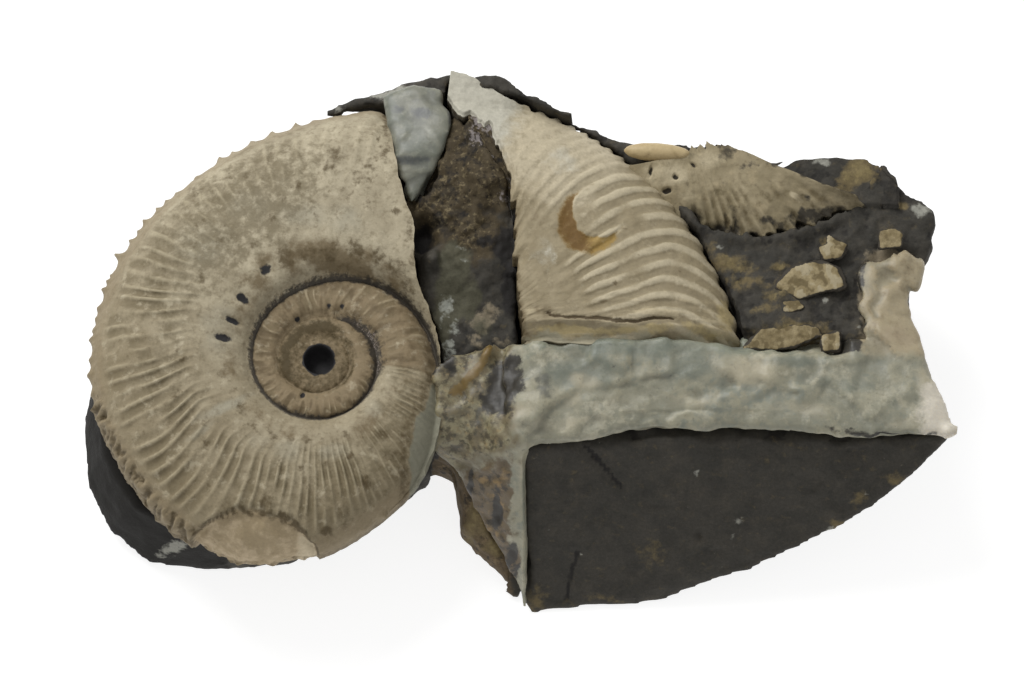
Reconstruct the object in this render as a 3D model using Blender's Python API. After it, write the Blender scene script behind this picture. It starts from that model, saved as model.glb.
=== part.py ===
"""Ammonite fossil: a coiled ammonite, parts of two more, calcite and shell flakes, in dark mudstone.

The specimen lies on its flat underside. X runs along it, Y runs away from the viewer, Z is up.
Every length below is in millimetres and is turned to metres when a mesh is made.
"""

import math

import bmesh
import bpy
from mathutils import Vector, noise

MM = 0.001
GAP = 0.35  # between a shell and the rock that holds it

# The whole ammonite. Its coil grows clockwise seen from above; coil angles count back from the
# last sliver of the body whorl, so 0 is the youngest shell and each 360 is one whorl further in.
COIL_CENTRE = (-29.7, -6.6)
COIL_MID_Z = 21.0
COIL_BASE_Z = 14.0
COIL_START = -8.0  # heading of coil angle 0, in degrees from +X
COIL_END = 1170.0
RIBS_PER_TURN = 104
# Shares of the flank, seam to rim, where the surface has corners. The body whorl has two cells to a
# rib; the whorls inside it have one, and only every other share.
FLANK_SHARES = (0.0, 0.09, 0.28, 0.52, 0.76, 0.93, 1.0)
WALL_ROWS = 2
FLANK_CREST = 0.3  # share of a whorl's flank, from its seam, where it stands highest
RIB_RELIEF = 0.42
SPINE_REACH = 0.75
SWEEP = 9.0  # how far a rib's outer end leans forward, in degrees of coil
PIT_DEPTH = 2.6
COIL_RIM = (  # coil angle, distance of the outer edge from the centre; up to 84 it is a broken edge
    (0, 18.2), (22, 17.9), (43, 18.2), (54, 20.4), (63, 24.4), (73, 28.8), (79, 34.0), (84, 41.2),
    (92, 40.6), (103, 38.4), (114, 37.0), (127, 35.6), (140, 34.8), (165, 34.2), (200, 34.1),
    (235, 34.0), (258, 32.8), (272, 30.6), (287, 28.0), (300, 25.7), (318, 23.4), (338, 20.8), (360, 18.2),
)
COIL_SEAM = (  # coil angle, distance of the inner edge, where a whorl meets the one before it
    (0, 18.2), (28, 16.8), (57, 15.0), (85, 13.0), (113, 11.4), (143, 10.7), (214, 10.2), (278, 9.7),
    (343, 9.0), (397, 8.3), (445, 6.9), (535, 6.2), (640, 5.1), (730, 4.5), (800, 3.8), (900, 3.0),
    (1000, 2.4), (1170, 2.2),
)
COIL_HALF_WIDTH = ((0, 10.4), (85, 9.6), (200, 8.6), (290, 7.2), (360, 6.2), (500, 5.4), (720, 4.7),
                   (1000, 4.1), (1170, 4.0))
WHOLE_SHELL_FROM = 84.0
FIRST_BODY_RADIUS = 44.0  # the body whorl's outer edge where the shell is lost
INNER_RADIUS, INNER_SHRINK = 18.2, 0.56  # outer edge of the hidden inner whorls, and its share per turn
CHIP = (232.0, 296.0, 0.66, 1.5)  # coil angles from and to, share of the flank, depth of the lost shell

# The second ammonite: one flank of a larger whorl, broken off on its left.
FLANK_CENTRE = (-16.1, -13.2)
FLANK_MID_Z = 22.8
FLANK_BASE_Z = 20.5
FLANK_HALF_WIDTH = 10.2
FLANK_RADIUS = 50.0
FLANK_SEAM = 17.5
FLANK_HEADINGS = (83.0, 9.5)
FLANK_FOOT_Y = -4.9  # the vein covers the flank in front of this line
FLANK_RIBS = 31
FLANK_SWEEP = 11.0  # how far a rib's outer end leans forward, in degrees of heading
FLANK_BREAK = ((9.5, 18.6), (22, 19.4), (41, 22.0), (57, 29.0), (63, 33.6), (72, 40.2), (83, 46.6))

# The third ammonite: a fan of ribs, low in the rock at the back right.
FAN_CENTRE = (24.5, 33.0)
FAN_HEADINGS = (-14.0, -119.0)
FAN_TOP_Z = 28.2
FAN_EDGE_Z = 25.2
FAN_BASE_Z = 22.0
FAN_RIBS = 22
FAN_INNER = ((-119, 9.3), (-105, 8.5), (-93, 8.2), (-84, 7.2), (-60, 8.1), (-45, 9.9), (-30, 14.0),
             (-20, 20.5), (-14, 28.0))
FAN_EDGE = ((-119, 12.0), (-86, 15.6), (-80, 18.4), (-66, 21.8), (-54, 24.0), (-43, 26.5), (-32, 29.0),
            (-14, 31.5))

# Rock: convex lumps that run into one another. Each corner is x, y, z.
UNDER_COIL = (
    (-64.6, -6.5, 9), (-65.2, -12, 7), (-64.4, -19, 5), (-61.2, -26, 2.5), (-55.5, -30.4, 0.5),
    (-47.5, -31.4, 0), (-62.6, -7, 15.6), (-61.6, -16, 16), (-56.4, -25.5, 16), (-46, -30.6, 15),
    (-54, 8, 13), (-44, 20, 13), (-32, 27, 13), (-15, 27, 13), (-54, -5, 0), (-49, 10, 0), (-38, 20, 0),
    (-16, 25, 0), (-8, -12, 0), (-14, -17, 12), (-34, -30, 0), (-27, -26, 0), (-26, -26, 12),
    (-36, -31, 13),
)
BLOCK = (
    (1.4, -20.6, 25.6), (19.8, -18.2, 25.8), (36.3, -18.4, 25.4), (54.3, -19.2, 24.8), (64.2, -18.2, 24.4),
    (3.3, -38, 0), (9, -37, 0), (21, -36.2, 0.6), (34.8, -33.2, 6), (48, -29.2, 12), (58, -23.6, 19.4),
    (61.4, -11.5, 24), (59.6, -4, 23.4), (60, -6, 17), (40, 6, 25.4), (-2, 6, 25.6), (-2, 6, 0), (22, 8, 0),
    (46, 4, 8), (64.2, -18.4, 22.6),
)
BACK_RIGHT = (
    (62.4, 17.6, 22.6), (61.2, 9.4, 22.2), (58.4, 3.2, 22.4), (60, -5, 23), (55, 21.8, 23.8),
    (54.4, 25, 23.6), (42.3, 25.6, 24), (33.3, 27.2, 24.6), (14, 28.4, 25), (0, -5, 25.4), (60, -5, 18),
    (58, 14, 15), (50, 20, 10), (30, 23, 3), (22, 18, 0), (10, 22, 0), (0, 0, 0), (40, 0, 6),
    (36, -8, 25.2),
)
BACK_LEFT = (
    (-31.4, 33, 22), (-25.2, 35.8, 22.6), (-18.4, 37.8, 23), (-11.8, 35.8, 25), (-8, 38.6, 26),
    (-2.8, 38.2, 25), (4, 34.2, 24.6), (12.4, 29.8, 24.4), (20, 26, 24), (-33, 26, 14), (-20, 30, 4),
    (4, 27, 0), (-18, 24, 0), (-16, -8, 0), (12, 6, 0), (14, 0, 25), (-16, 8, 24), (-13, 22, 27.4),
    (-4, 10, 27.4), (-8, 20, 27.8), (-12.5, -8, 22.4), (0, -2, 25.4), (-3, 28, 27.4),
)
LEFT_WALL = (
    (-14.5, -12, 19), (-10.8, -17.6, 17.5), (-8.6, -18.4, 20), (-3, -20.4, 24), (1.4, -21, 24.6),
    (-10.4, -20.2, 5), (-9.6, -26.4, 1.6), (-4.6, -29.8, 0), (-0.8, -32, 0), (1.6, -36.4, 0),
    (4, -30, 0), (6, -4, 0), (-14, -6, 0), (-14, -4, 21), (2, -4, 25), (-5, -30.4, 5), (-9, -27, 7),
    (0.4, -33, 5),
)
ROCK_FACET = 13.0  # longest edge left on a rough face
ROCK_RELIEF = 0.55

# Calcite: a vein that caps the block and turns down its left side, and a wedge beside the coil.
CAP_VEIN = (
    (0.4, -20.9, 27.2), (6, -20, 27.3), (19.8, -17.9, 27.9), (36.3, -18.2, 27.4), (54.3, -19.4, 26.8),
    (65.2, -18.3, 25.6), (61, -11.8, 26.2), (59.8, -5.2, 26), (4, -4.6, 30.4), (18, -1.5, 31.2),
    (36, -4, 29.2), (44, -5.6, 27.6), (-3, -8, 28), (-2, -14, 27.6), (0.4, -20.9, 24.9),
    (64.6, -18.2, 24.2), (60, -5.2, 24), (0, -3, 24.6), (36, -2.5, 24.6),
)
SIDE_VEIN = (
    (-13.6, -12, 21.4), (-11.6, -17.6, 19), (-8.4, -18.2, 21.6), (-3.4, -21.4, 23.2), (-9, -6, 25.6),
    (0.8, -21.6, 26.4), (1.6, -4, 26), (-12, -15, 16.5), (-2, -22.6, 18), (0.6, -33.6, 4.4),
    (2.2, -38.2, 0.8), (2.9, -37.8, 0.9), (2.6, -33, 8), (2.4, -24, 21),
)
RIGHT_PATCH = (
    (59.4, -3.4, 25.2), (60.4, -8, 25.6), (57.8, 3.2, 25), (59.4, 8.8, 24.8), (60.8, 13.2, 24.4),
    (56, 9, 26.4), (51.6, 5.4, 26.2), (52.6, -1, 26.6), (53, -6, 27), (60.6, 11, 22), (58.4, 1, 22),
    (60.2, -8, 22.6), (54, -6, 23), (52.4, 5, 23.4),
)
WEDGE = (
    (-19.2, 34.2, 27.6), (-14, 36, 28.4), (-9.4, 34.8, 28.6), (-9.6, 28, 29.4), (-12.6, 21.6, 28.8),
    (-14.4, 17.6, 28), (-16.2, 25, 29.2), (-18.2, 29, 28.8), (-18.6, 34, 24), (-10, 34, 24.6),
    (-14, 19, 24.4),
)
LENS = ((19.4, 26.4, 27.0), (5.0, 1.2, 1.3), -4.0)  # middle, half sizes and turn of a smooth sliver of shell
FLAKES = (  # outline in plan from its middle, middle, thickness
    (((-4.6, -0.8), (-2.4, 1.6), (0.6, 2.6), (3.6, 1.8), (4.4, -0.6), (1.6, -1.2), (-1.4, -2.2)),
      (43.2, 8.2), 1.0),
    (((-1.6, -1.8), (-2.4, 0.2), (-0.8, 0.6), (-0.9, 2.2), (1.0, 1.2), (2.2, 0.8), (1.2, -1.4)),
      (46.8, 14.0), 1.2),
    (((-5.8, -1.8), (-3.4, 1.0), (1.0, 1.9), (5.4, 1.6), (6.0, 0.2), (2.0, -1.4), (-1.0, -2.2)),
      (41.4, 0.6), 0.7),
    (((-1.2, -1.6), (-1.4, 1.2), (0.2, 1.5), (1.3, 1.7), (1.2, -1.2)), (47.6, -0.8), 1.3),
    (((-2.4, -0.6), (-1.0, 0.8), (1.6, 0.9), (2.4, -0.2), (0.6, -0.9)), (41.0, 4.4), 0.6),
    (((-1.8, -1.4), (-1.6, 1.2), (0.4, 1.9), (2.0, 0.8), (1.4, -1.2)), (55.2, 15.6), 0.8),
)
FLAKE_BASE_Z = 25.9


def clear_scene():
    for obj in list(bpy.data.objects):
        bpy.data.objects.remove(obj)


def material(name, colour, roughness):
    made = bpy.data.materials.new(name)
    made.use_nodes = True
    shader = made.node_tree.nodes["Principled BSDF"]
    shader.inputs["Base Color"].default_value = (*colour, 1)
    shader.inputs["Roughness"].default_value = roughness
    shader.inputs["Metallic"].default_value = 0.0
    return made


def object_of(name, bm, finish=None, cutter=False):
    """One object from a bmesh in millimetres."""
    bmesh.ops.recalc_face_normals(bm, faces=bm.faces)
    bmesh.ops.scale(bm, vec=(MM, MM, MM), verts=bm.verts)
    mesh = bpy.data.meshes.new(name)
    bm.to_mesh(mesh)
    bm.free()
    obj = bpy.data.objects.new(name, mesh)
    bpy.context.scene.collection.objects.link(obj)
    if finish:
        mesh.materials.append(finish)
    if cutter:
        obj.hide_render = True
        obj.display_type = "WIRE"
    return obj


def combine(obj, other, operation):
    modifier = obj.modifiers.new(operation.lower() + "_" + other.name, "BOOLEAN")
    modifier.operation = operation
    modifier.object = other
    modifier.solver = "EXACT"


def smooth_step(low, high, value):
    share = min(1.0, max(0.0, (value - low) / (high - low)))
    return share * share * (3 - 2 * share)


def along(stops, angle):
    """The value at an angle on a smooth line through the stops."""
    angle = min(max(angle, stops[0][0]), stops[-1][0])
    index = next(i for i in range(1, len(stops)) if angle <= stops[i][0])
    (a0, v0), (a1, v1) = stops[index - 1], stops[index]
    before = stops[max(0, index - 2)]
    after = stops[min(len(stops) - 1, index + 1)]
    slope0 = (v1 - before[1]) / (a1 - before[0])
    slope1 = (after[1] - v0) / (after[0] - a0)
    share = (angle - a0) / (a1 - a0)
    span = a1 - a0
    cube, square = share**3, share**2
    return ((2 * cube - 3 * square + 1) * v0 + (cube - 2 * square + share) * span * slope0
            + (3 * square - 2 * cube) * v1 + (cube - square) * span * slope1)


# ---- the coil -------------------------------------------------------------------------------

def body_radius(angle):
    """Where the whorl's outer edge is, or was before it broke or was overgrown."""
    if angle < WHOLE_SHELL_FROM:
        share = angle / WHOLE_SHELL_FROM
        return FIRST_BODY_RADIUS + (along(COIL_RIM, WHOLE_SHELL_FROM) - FIRST_BODY_RADIUS) * share
    if angle <= 360:
        return along(COIL_RIM, angle)
    return INNER_RADIUS * INNER_SHRINK ** ((angle - 360) / 360)


def outer_flank(share):
    """Height of the flank from its crest out to the outer edge, as a share of the half width."""
    crest = FLANK_CREST
    return max(0.0, 1 - (max(0.0, share - crest) / (1 - crest)) ** 2.7) ** 0.55


def coil_height(angle, radius):
    """Height of a whorl's upper side above the middle plane."""
    inner = along(COIL_SEAM, angle)
    share = (radius - inner) / max(0.5, body_radius(angle) - inner)
    held = 1 - 0.1 * smooth_step(300, 355, angle)
    top = along(COIL_HALF_WIDTH, angle) * outer_flank(min(share, held))
    crest = FLANK_CREST
    if share >= crest or angle > COIL_END - 360:
        return top
    deeper = angle + 360
    deeper_inner = along(COIL_SEAM, deeper)
    seat_share = (inner - deeper_inner) / max(0.5, body_radius(deeper) - deeper_inner)
    seam = along(COIL_HALF_WIDTH, deeper) * outer_flank(min(seat_share, 0.9))
    rise = max(0.0, 1 - (1 - share / crest) ** 2.6) ** 0.75
    return seam + (top - seam) * rise


def chipped(angle, share):
    """How much shell is lost, from 0 to 1, along the lower edge."""
    start, end, inside, _ = CHIP
    sector = smooth_step(start, start + 6, angle) * (1 - smooth_step(end - 8, end, angle))
    return sector * smooth_step(inside, inside + 0.05, share)


def rib_lean(angle, share):
    """How far forward a rib has swung at its share of the flank, in degrees of coil."""
    free = smooth_step(60, 110, angle) * (1 - smooth_step(230, 352, angle))
    return SWEEP * free * share**2.2 - 2.0 * math.sin(math.pi * share)


def coil_point(rib, share, drop):
    """A point of the coil on a given rib line: share runs from the seam to the rim, drop down the rim."""
    angle = max(0.0, rib - rib_lean(rib, share) * smooth_step(0, 12, rib))
    inner = along(COIL_SEAM, angle)
    rim = along(COIL_RIM, angle) if rib <= 360 else along(COIL_SEAM, angle - 360)
    radius = inner + (rim - inner) * share
    body = body_radius(angle)
    whorl_share = (radius - inner) / max(0.5, body - inner)
    height = coil_height(angle, radius)
    whole = smooth_step(0.93, 1.0, (rim - inner + 0.01) / max(0.5, body - inner)) if rib <= 360 else 0.0
    lost = chipped(angle, whorl_share)
    ribbed = smooth_step(0.3, 0.62, whorl_share) * (1 - lost) * smooth_step(0, 14, rim - inner)
    ribbed *= 1 - smooth_step(0.8, 1, share) * smooth_step(330, 358, rib)
    wave = math.cos(math.radians(rib * RIBS_PER_TURN))
    height += RIB_RELIEF * ribbed * wave / 2 * (1 - drop)
    edge = smooth_step(0.86, 1.0, share) * whole * (1 - lost)
    radius += SPINE_REACH * edge * (0.2 + wave / 2) * (1 - drop)
    height -= CHIP[3] * lost * (1 - drop)
    if drop > 0:
        bottom = COIL_BASE_Z - COIL_MID_Z
        height += (bottom - height) * math.sin(drop * math.pi / 2)
        radius -= 3.2 * drop**2.2 * max(whole, smooth_step(300, 340, angle), 1 - smooth_step(0, 20, angle))
    heading = math.radians(COIL_START + angle)
    return Vector((COIL_CENTRE[0] + radius * math.cos(heading), COIL_CENTRE[1] + radius * math.sin(heading),
                   COIL_MID_Z + height))


def bent_grid(bm, across, up, place):
    """A flat sheet of cells, each corner moved to place(u, v) with u and v from 0 to 1."""
    made = bmesh.ops.create_grid(bm, x_segments=across, y_segments=up, size=1)["verts"]
    for vert in made:
        vert.co = place((vert.co.x + 1) / 2, (vert.co.y + 1) / 2)


def body_whorl_point(u, v):
    """Corners that touch the coarser inner whorls close up onto the ones those share."""
    column = round(v * (len(FLANK_SHARES) - 1))
    if column == 0:
        u = round(u * RIBS_PER_TURN) / RIBS_PER_TURN
    if u > 0.999:
        column = 2 * (column // 2)
    return coil_point(u * 360, FLANK_SHARES[column], 0)


def inner_whorl_point(u, v):
    shares = FLANK_SHARES[::2]
    return coil_point(360 + u * (COIL_END - 360), shares[round(v * (len(shares) - 1))], 0)


def build_coil(finish):
    bm = bmesh.new()
    columns = len(FLANK_SHARES) - 1
    bent_grid(bm, 2 * RIBS_PER_TURN, columns, body_whorl_point)
    bent_grid(bm, 2 * RIBS_PER_TURN, WALL_ROWS, lambda u, v: coil_point(u * 360, 1, v))
    bent_grid(bm, round(RIBS_PER_TURN * (COIL_END / 360 - 1)), columns // 2, inner_whorl_point)
    bmesh.ops.remove_doubles(bm, verts=bm.verts, dist=0.004)
    pit = [e for e in bm.edges if e.is_boundary and e.verts[0].co.z > COIL_MID_Z]
    floor = bmesh.ops.extrude_edge_only(bm, edges=pit)["geom"]
    lowered = [v for v in floor if isinstance(v, bmesh.types.BMVert)]
    bmesh.ops.translate(bm, vec=(0, 0, -PIT_DEPTH), verts=lowered)
    bmesh.ops.holes_fill(bm, edges=[e for e in bm.edges if e.is_boundary])
    bmesh.ops.triangulate(bm, faces=bm.faces)
    return object_of("ammonite_coil", bm, finish)


def seat(name, outline, bottom, top=60.0):
    """An upright cutter over an outline in plan."""
    bm = bmesh.new()
    face = bm.faces.new([bm.verts.new((x, y, bottom)) for x, y in outline])
    made = bmesh.ops.extrude_face_region(bm, geom=[face])["geom"]
    raised = [v for v in made if isinstance(v, bmesh.types.BMVert)]
    bmesh.ops.translate(bm, vec=(0, 0, top - bottom), verts=raised)
    return object_of(name, bm, cutter=True)


def polar(centre, heading, radius):
    turn = math.radians(heading)
    return centre[0] + radius * math.cos(turn), centre[1] + radius * math.sin(turn)


def coil_outline(extra):
    spined = SPINE_REACH * 0.7
    step = 4.0
    reach = (along(COIL_RIM, n * step) + spined * smooth_step(70, 80, n * step) + extra for n in range(90))
    return [polar(COIL_CENTRE, COIL_START + n * step, radius) for n, radius in enumerate(reach)]


# ---- the two partial ammonites ---------------------------------------------------------------

def flank_share(radius):
    return (radius - FLANK_SEAM) / (FLANK_RADIUS - FLANK_SEAM)


def flank_point(u, v):
    start, end = FLANK_HEADINGS
    straight = start + (end - start) * u
    inner = along(FLANK_BREAK, straight)
    radius = inner + (FLANK_RADIUS - inner) * math.sin(v * math.pi / 2)
    level = math.degrees(math.asin((FLANK_FOOT_Y - FLANK_CENTRE[1]) / radius))
    heading = straight + (level - end) * u**3
    share = flank_share(radius)
    lean = FLANK_SWEEP * (share**3 - flank_share(inner) ** 3)
    heading -= lean * 4 * u * (1 - u)
    height = FLANK_HALF_WIDTH * (0.12 + 0.88 * outer_flank(share))
    wave = math.cos(2 * math.pi * FLANK_RIBS * u)
    height += 0.45 * smooth_step(0.3, 0.6, share) * wave * (1 - smooth_step(0.97, 1, share))
    x, y = polar(FLANK_CENTRE, heading, radius + 0.3 * wave * smooth_step(0.9, 1, v))
    return Vector((x, y, FLANK_MID_Z + height))


def room_before_flank(heading):
    """How far a fan rib can run on this heading before it meets the second ammonite."""
    turn = math.radians(heading)
    dx, dy = FAN_CENTRE[0] - FLANK_CENTRE[0], FAN_CENTRE[1] - FLANK_CENTRE[1]
    inward = -(dx * math.cos(turn) + dy * math.sin(turn))
    depth = inward**2 - dx**2 - dy**2 + (FLANK_RADIUS + 1.2) ** 2
    return inward - math.sqrt(depth) if depth > 0 and inward > 0 else 99.0


def fan_point(u, v):
    heading = FAN_HEADINGS[0] + (FAN_HEADINGS[1] - FAN_HEADINGS[0]) * u
    inner, edge = along(FAN_INNER, heading), along(FAN_EDGE, heading)
    wave = math.cos(2 * math.pi * FAN_RIBS * u)
    radius = inner + (edge - inner) * v + 0.6 * wave * smooth_step(0.8, 1, v)
    radius = min(radius, room_before_flank(heading))
    height = FAN_EDGE_Z + (FAN_TOP_Z - FAN_EDGE_Z) * (1 - v**1.8) + 0.3 * wave * smooth_step(0.35, 0.8, v)
    x, y = polar(FAN_CENTRE, heading, radius)
    return Vector((x, y, height))


def close_down(bm, base):
    """Drops walls from a sheet's edge to a flat base, and closes it."""
    bmesh.ops.remove_doubles(bm, verts=bm.verts, dist=0.004)
    made = bmesh.ops.extrude_edge_only(bm, edges=[e for e in bm.edges if e.is_boundary])["geom"]
    for vert in (v for v in made if isinstance(v, bmesh.types.BMVert)):
        vert.co.z = base
    bmesh.ops.holes_fill(bm, edges=[e for e in bm.edges if e.is_boundary])
    bmesh.ops.triangulate(bm, faces=bm.faces)


def build_flank(finish):
    bm = bmesh.new()
    bent_grid(bm, 2 * FLANK_RIBS, 5, flank_point)
    close_down(bm, FLANK_BASE_Z)
    return object_of("ammonite_flank", bm, finish)


def build_fan(finish):
    bm = bmesh.new()
    bent_grid(bm, 2 * FAN_RIBS, 5, fan_point)
    close_down(bm, FAN_BASE_Z)
    return object_of("ammonite_fan", bm, finish)


def rim_outline(point, steps, extra):
    """The plan outline of a partial ammonite, pushed out by extra."""
    stops = [n / steps for n in range(steps + 1)]
    corners = ([(u, 1) for u in stops] + [(1, 0.6), (1, 0.3)] + [(u, 0) for u in reversed(stops)]
               + [(0, 0.3), (0, 0.6)])
    grown = []
    for u, v in corners:
        here = point(u, v)
        push = Vector((0, 0, 0))
        if u in (0, 1):
            push += (here - point(abs(u - 0.01), v)).normalized()
        if v in (0, 1):
            push += (here - point(u, abs(v - 0.05))).normalized()
        grown.append((here.x + push.x * extra, here.y + push.y * extra))
    return grown


# ---- rock and calcite -------------------------------------------------------------------------

def lump(name, corners, finish=None, cutter=False, facet=ROCK_FACET, relief=ROCK_RELIEF, grow=0.0):
    """A convex lump whose faces are broken into facets and roughened."""
    bm = bmesh.new()
    for corner in corners:
        bm.verts.new(corner)
    hull = bmesh.ops.convex_hull(bm, input=bm.verts)
    spare = {v for v in hull["geom_interior"] + hull["geom_unused"] if isinstance(v, bmesh.types.BMVert)}
    bmesh.ops.delete(bm, geom=list(spare), context="VERTS")
    for _ in range(4):
        long_edges = [e for e in bm.edges if e.calc_length() > facet]
        if not long_edges:
            break
        bmesh.ops.subdivide_edges(bm, edges=long_edges, cuts=1)
        bmesh.ops.triangulate(bm, faces=bm.faces)
    bm.normal_update()
    for vert in bm.verts:
        rough = noise.fractal(vert.co * 0.11, 1.0, 2.0, 3) * relief
        shift = vert.normal * rough
        if vert.co.z < 0.4 and not grow:
            shift = Vector((shift.x, shift.y, 0))
        vert.co += shift
    if grow:
        bm.normal_update()
        for vert in bm.verts:
            vert.co += vert.normal * grow * vert.calc_shell_factor()
    return object_of(name, bm, finish, cutter)


def build_rock(finish, seats):
    rock = lump("mudstone", BLOCK, finish)
    for name, corners in (("under_coil", UNDER_COIL), ("back_right", BACK_RIGHT), ("back_left", BACK_LEFT),
                          ("left_wall", LEFT_WALL)):
        combine(rock, lump(name, corners, cutter=True), "UNION")
    for cutter in seats:
        combine(rock, cutter, "DIFFERENCE")
    return rock


def build_veins(finish, seats):
    """The vein as one solid, and cutters of the same lumps a little larger."""
    lumps = (("cap", CAP_VEIN), ("side", SIDE_VEIN), ("patch", RIGHT_PATCH))
    grown = [lump("seat_" + name, corners, cutter=True, relief=0.3, grow=GAP) for name, corners in lumps]
    vein = lump("calcite_vein", CAP_VEIN, finish, relief=0.3)
    for name, corners in lumps[1:]:
        combine(vein, lump(name, corners, cutter=True, relief=0.3), "UNION")
    for cutter in seats:
        combine(vein, cutter, "DIFFERENCE")
    return vein, grown


def build_wedge(finish, seats):
    wedge = lump("calcite_wedge", WEDGE, finish, relief=0.25)
    for cutter in seats:
        combine(wedge, cutter, "DIFFERENCE")
    return wedge, lump("seat_wedge", WEDGE, cutter=True, relief=0.25, grow=GAP)


def build_lens(finish):
    middle, half, turn = LENS
    bm = bmesh.new()
    bmesh.ops.create_uvsphere(bm, u_segments=12, v_segments=6, radius=1)
    bmesh.ops.scale(bm, vec=half, verts=bm.verts)
    lens = object_of("shell_sliver", bm, finish)
    lens.location = [value * MM for value in middle]
    lens.rotation_euler.z = math.radians(turn)
    return lens


def build_flake(number, outline, middle, thickness, finish):
    bm = bmesh.new()
    face = bm.faces.new([bm.verts.new((x, y, 0)) for x, y in outline])
    made = bmesh.ops.extrude_face_region(bm, geom=[face])["geom"]
    top = [v for v in made if isinstance(v, bmesh.types.BMVert)]
    bmesh.ops.translate(bm, vec=(0, 0, thickness), verts=top)
    bmesh.ops.scale(bm, vec=(0.86, 0.86, 1), verts=top)
    flake = object_of(f"shell_flake_{number}", bm, finish)
    flake.location = (middle[0] * MM, middle[1] * MM, FLAKE_BASE_Z * MM)
    return flake


def main():
    clear_scene()
    shell = material("shell", (0.38, 0.32, 0.23), 0.75)
    stone = material("mudstone", (0.04, 0.037, 0.032), 0.85)
    calcite = material("calcite", (0.30, 0.29, 0.24), 0.55)

    build_coil(shell)
    build_flank(shell)
    build_fan(shell)
    coil_seat = seat("seat_coil", coil_outline(GAP + 0.1), COIL_BASE_Z - GAP)
    flank_seat = seat("seat_flank", rim_outline(flank_point, FLANK_RIBS, GAP + 0.3), FLANK_BASE_Z - GAP)
    fan_seat = seat("seat_fan", rim_outline(fan_point, 2 * FAN_RIBS, GAP), FAN_BASE_Z - GAP)
    build_lens(shell)
    for number, (outline, middle, thickness) in enumerate(FLAKES, 1):
        build_flake(number, outline, middle, thickness, shell)
    _, vein_seats = build_veins(calcite, [coil_seat, flank_seat])
    _, wedge_seat = build_wedge(calcite, [coil_seat, flank_seat])
    build_rock(stone, [coil_seat, flank_seat, fan_seat, *vein_seats, wedge_seat])


main()
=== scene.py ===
import math

import bmesh
import bpy
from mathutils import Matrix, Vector, noise


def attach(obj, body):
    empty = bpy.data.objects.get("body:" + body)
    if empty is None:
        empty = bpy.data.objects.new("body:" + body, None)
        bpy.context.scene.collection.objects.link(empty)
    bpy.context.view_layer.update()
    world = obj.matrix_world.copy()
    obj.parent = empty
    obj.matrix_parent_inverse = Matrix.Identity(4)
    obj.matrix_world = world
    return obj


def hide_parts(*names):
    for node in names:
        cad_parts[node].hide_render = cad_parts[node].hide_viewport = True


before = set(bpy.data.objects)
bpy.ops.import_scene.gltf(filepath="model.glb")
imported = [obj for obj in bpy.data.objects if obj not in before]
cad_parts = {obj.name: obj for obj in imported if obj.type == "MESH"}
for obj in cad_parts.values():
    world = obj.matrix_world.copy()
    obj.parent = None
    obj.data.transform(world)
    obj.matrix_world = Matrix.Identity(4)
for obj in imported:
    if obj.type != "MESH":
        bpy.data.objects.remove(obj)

noise.seed_set(4)  # the same shapes on every run

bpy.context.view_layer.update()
mm = 0.001  # shapes below are worked out in millimetres


def linear(hexColour):
    channels = [int(hexColour[i:i + 2], 16) / 255 for i in (1, 3, 5)]
    return [c / 12.92 if c <= 0.04045 else ((c + 0.055) / 1.055) ** 2.4 for c in channels] + [1.0]


def addNode(tree, kind, links=(), values=(), **settings):
    node = tree.nodes.new(kind)
    for name, value in settings.items():
        setattr(node, name, value)
    for name, value in dict(values).items():
        node.inputs[name].default_value = value
    for name, source in dict(links).items():
        tree.links.new(source, node.inputs[name])
    return node


def ramp(low, high, value):
    share = min(1.0, max(0.0, (value - low) / (high - low)))
    return share * share * (3 - 2 * share)


def along(stops, x):  # smooth line through (x, value) stops
    x = min(max(x, stops[0][0]), stops[-1][0])
    index = next(i for i in range(1, len(stops)) if x <= stops[i][0])
    (x0, v0), (x1, v1) = stops[index - 1], stops[index]
    before, after = stops[max(0, index - 2)], stops[min(len(stops) - 1, index + 1)]
    slope0 = (v1 - before[1]) / (x1 - before[0])
    slope1 = (after[1] - v0) / (after[0] - x0)
    span = x1 - x0
    t = (x - x0) / span
    return ((2 * t**3 - 3 * t**2 + 1) * v0 + (t**3 - 2 * t**2 + t) * span * slope0
            + (3 * t**2 - 2 * t**3) * v1 + (t**3 - t**2) * span * slope1)


def polar(centre, heading, radius):
    turn = math.radians(heading)
    return centre[0] + radius * math.cos(turn), centre[1] + radius * math.sin(turn)


def lumps(x, y, z, size, octaves=3):  # about -1 to 1, with lumps of that size in mm
    return noise.fractal(Vector((x, y, z)) / size, 1.0, 2.0, octaves)


def facets(point, size, slope):  # broken planes of that size, each tilted its own way
    nearest = noise.voronoi(point / size)[1][0]
    return slope * size * noise.noise_vector(nearest * 7.3).dot(point / size - nearest)


def brokenTone(point, size):  # 0 to 1, one value for each broken piece of that size
    middle = noise.voronoi((point + 0.3 * size * noise.noise_vector(point / size)) / size)[1][0]
    return 0.5 + 0.5 * noise.noise(middle * 7.3 + Vector((3, 1, 2)))


# Marks are laid out on the view from the front, 70 degrees up: u across and v up, in mm.
def upView(point):
    return 0.94 * point.y + 0.342 * (point.z - 15)


def layOut(point, ragged=1.0):
    shake = (noise.noise_vector(point / 2.8) * 0.7 + noise.noise_vector(point / 0.8) * 0.25) * ragged
    return point.x + shake.x, upView(point) + shake.y


def spots(text):  # rows of u, v, half length, half width, strength and, where it isn't 0, turn
    rows = [[float(number) for number in row.split()] for row in text.split(",")]
    return [row + [0.0] * (6 - len(row)) for row in rows]


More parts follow.
